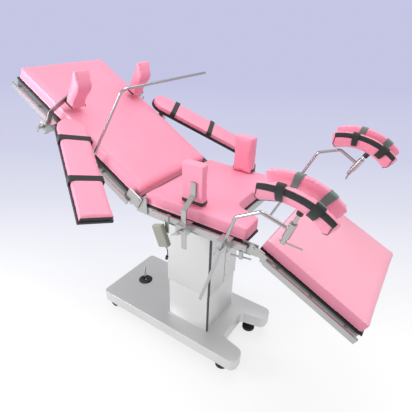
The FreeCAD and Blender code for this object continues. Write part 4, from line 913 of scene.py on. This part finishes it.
def floor():
    """A wide pale floor: white by the table, turning to the lavender of the backdrop far behind it."""
    corners = [(x * FLOOR_REACH, y * FLOOR_REACH, 0) for x, y in ((-1, -1), (1, -1), (1, 1), (-1, 1))]
    ground = new_mesh("floor", corners, [(0, 1, 2, 3)])
    material = bpy.data.materials.new("pale floor")
    material.use_nodes = True
    tree = material.node_tree
    tree.nodes.clear()
    place = add(tree, "ShaderNodeTexCoord")
    turn = add(tree, "ShaderNodeMapping", vector_type="TEXTURE")
    turn.inputs["Location"].default_value = (CAMERA_PLACE.x, CAMERA_PLACE.y, 0)
    turn.inputs["Rotation"].default_value = (0, 0, CAMERA_YAW)
    split = add(tree, "ShaderNodeSeparateXYZ")
    share = ranged(tree, FLOOR_TONES_SPAN)
    ramp = add(tree, "ShaderNodeValToRGB")
    stops = ramp.color_ramp.elements
    stops[0].color = (1.0, 1.0, 1.0, 1)
    stops[1].color = (*BACKDROP, 1)
    for position, colour in FLOOR_TONES:
        stop = stops.new(position)
        stop.color = (*colour, 1)
    matte = add(tree, "ShaderNodeBsdfDiffuse")
    glow = add(tree, "ShaderNodeEmission")
    seen = add(tree, "ShaderNodeLightPath")
    either = add(tree, "ShaderNodeMath", operation="MAXIMUM")
    away = ranged(tree, GLOW_SPAN, low=GLOW_NEAR)
    scaled = add(tree, "ShaderNodeMath", operation="MULTIPLY")
    distance = add(tree, "ShaderNodeVectorMath", operation="LENGTH")
    far_off = ranged(tree, FAR_OFF_SPAN)
    tone = add(tree, "ShaderNodeMath", operation="MAXIMUM")
    shine = add(tree, "ShaderNodeMath", operation="MAXIMUM")
    mix = add(tree, "ShaderNodeMixShader")
    out = add(tree, "ShaderNodeOutputMaterial")
    link = tree.links.new
    link(place.outputs["Object"], distance.inputs[0])
    link(distance.outputs["Value"], far_off.inputs["Value"])
    link(place.outputs["Object"], turn.inputs["Vector"])
    link(turn.outputs["Vector"], split.inputs["Vector"])
    link(split.outputs["Y"], share.inputs["Value"])
    link(split.outputs["Y"], away.inputs["Value"])
    link(share.outputs["Result"], tone.inputs[0])
    link(far_off.outputs["Result"], tone.inputs[1])
    link(tone.outputs["Value"], ramp.inputs["Fac"])
    link(ramp.outputs["Color"], matte.inputs["Color"])
    link(ramp.outputs["Color"], glow.inputs["Color"])
    link(seen.outputs["Is Camera Ray"], either.inputs[0])
    link(seen.outputs["Is Glossy Ray"], either.inputs[1])
    link(either.outputs["Value"], scaled.inputs[0])
    link(away.outputs["Result"], shine.inputs[0])
    link(far_off.outputs["Result"], shine.inputs[1])
    link(shine.outputs["Value"], scaled.inputs[1])
    link(scaled.outputs["Value"], mix.inputs["Fac"])
    link(matte.outputs["BSDF"], mix.inputs[1])
    link(glow.outputs["Emission"], mix.inputs[2])
    link(mix.outputs["Shader"], out.inputs["Surface"])
    ground.data.materials.append(material)


def sky():
    """A soft, even light from all round, and the lavender that the camera sees."""
    world = bpy.data.worlds.new("studio")
    bpy.context.scene.world = world
    world.use_nodes = True
    tree = world.node_tree
    tree.nodes.clear()
    seen = add(tree, "ShaderNodeLightPath")
    lit = add(tree, "ShaderNodeBackground")
    lit.inputs["Color"].default_value = (*SKY_LIGHT, 1)
    lit.inputs["Strength"].default_value = SKY_STRENGTH
    shown = add(tree, "ShaderNodeBackground")
    shown.inputs["Color"].default_value = (*BACKDROP, 1)
    shown.inputs["Strength"].default_value = 1.0
    mix = add(tree, "ShaderNodeMixShader")
    out = add(tree, "ShaderNodeOutputWorld")
    tree.links.new(seen.outputs["Is Camera Ray"], mix.inputs["Fac"])
    tree.links.new(lit.outputs["Background"], mix.inputs[1])
    tree.links.new(shown.outputs["Background"], mix.inputs[2])
    tree.links.new(mix.outputs["Shader"], out.inputs["Surface"])


def lights():
    """Square soft lamps, each facing a point."""
    for name, place, target, size, power in LAMPS:
        light = bpy.data.lights.new(name, "AREA")
        light.size = size
        light.energy = power
        stand = bpy.data.objects.new(name, light)
        bpy.context.scene.collection.objects.link(stand)
        stand.location = place
        stand.rotation_euler = (Vector(target) - Vector(place)).to_track_quat("-Z", "Y").to_euler()


def camera():
    """The camera that took the picture, from its place, turn and field of view."""
    yaw, pitch, roll = CAMERA_YAW, CAMERA_PITCH, CAMERA_ROLL
    ahead = Vector((-math.sin(yaw) * math.cos(pitch), math.cos(yaw) * math.cos(pitch), -math.sin(pitch)))
    level = Vector((math.cos(yaw), math.sin(yaw), 0))
    above = level.cross(ahead)
    right = math.cos(roll) * level + math.sin(roll) * above
    up = -math.sin(roll) * level + math.cos(roll) * above
    eye = bpy.data.cameras.new("camera")
    eye.sensor_width = SENSOR_WIDTH
    eye.lens = LENS
    eye.clip_end = FAR_CLIP
    stand = bpy.data.objects.new("camera", eye)
    bpy.context.scene.collection.objects.link(stand)
    turn = Matrix((right, up, -ahead)).transposed().to_4x4()
    stand.matrix_world = Matrix.Translation(CAMERA_PLACE) @ turn
    bpy.context.scene.camera = stand


paint_frame()
upholstery()
straps()
covers()
column_trim()
screws()
lead()
floor()
sky()
lights()
camera()
bpy.context.scene.view_settings.view_transform = "Standard"
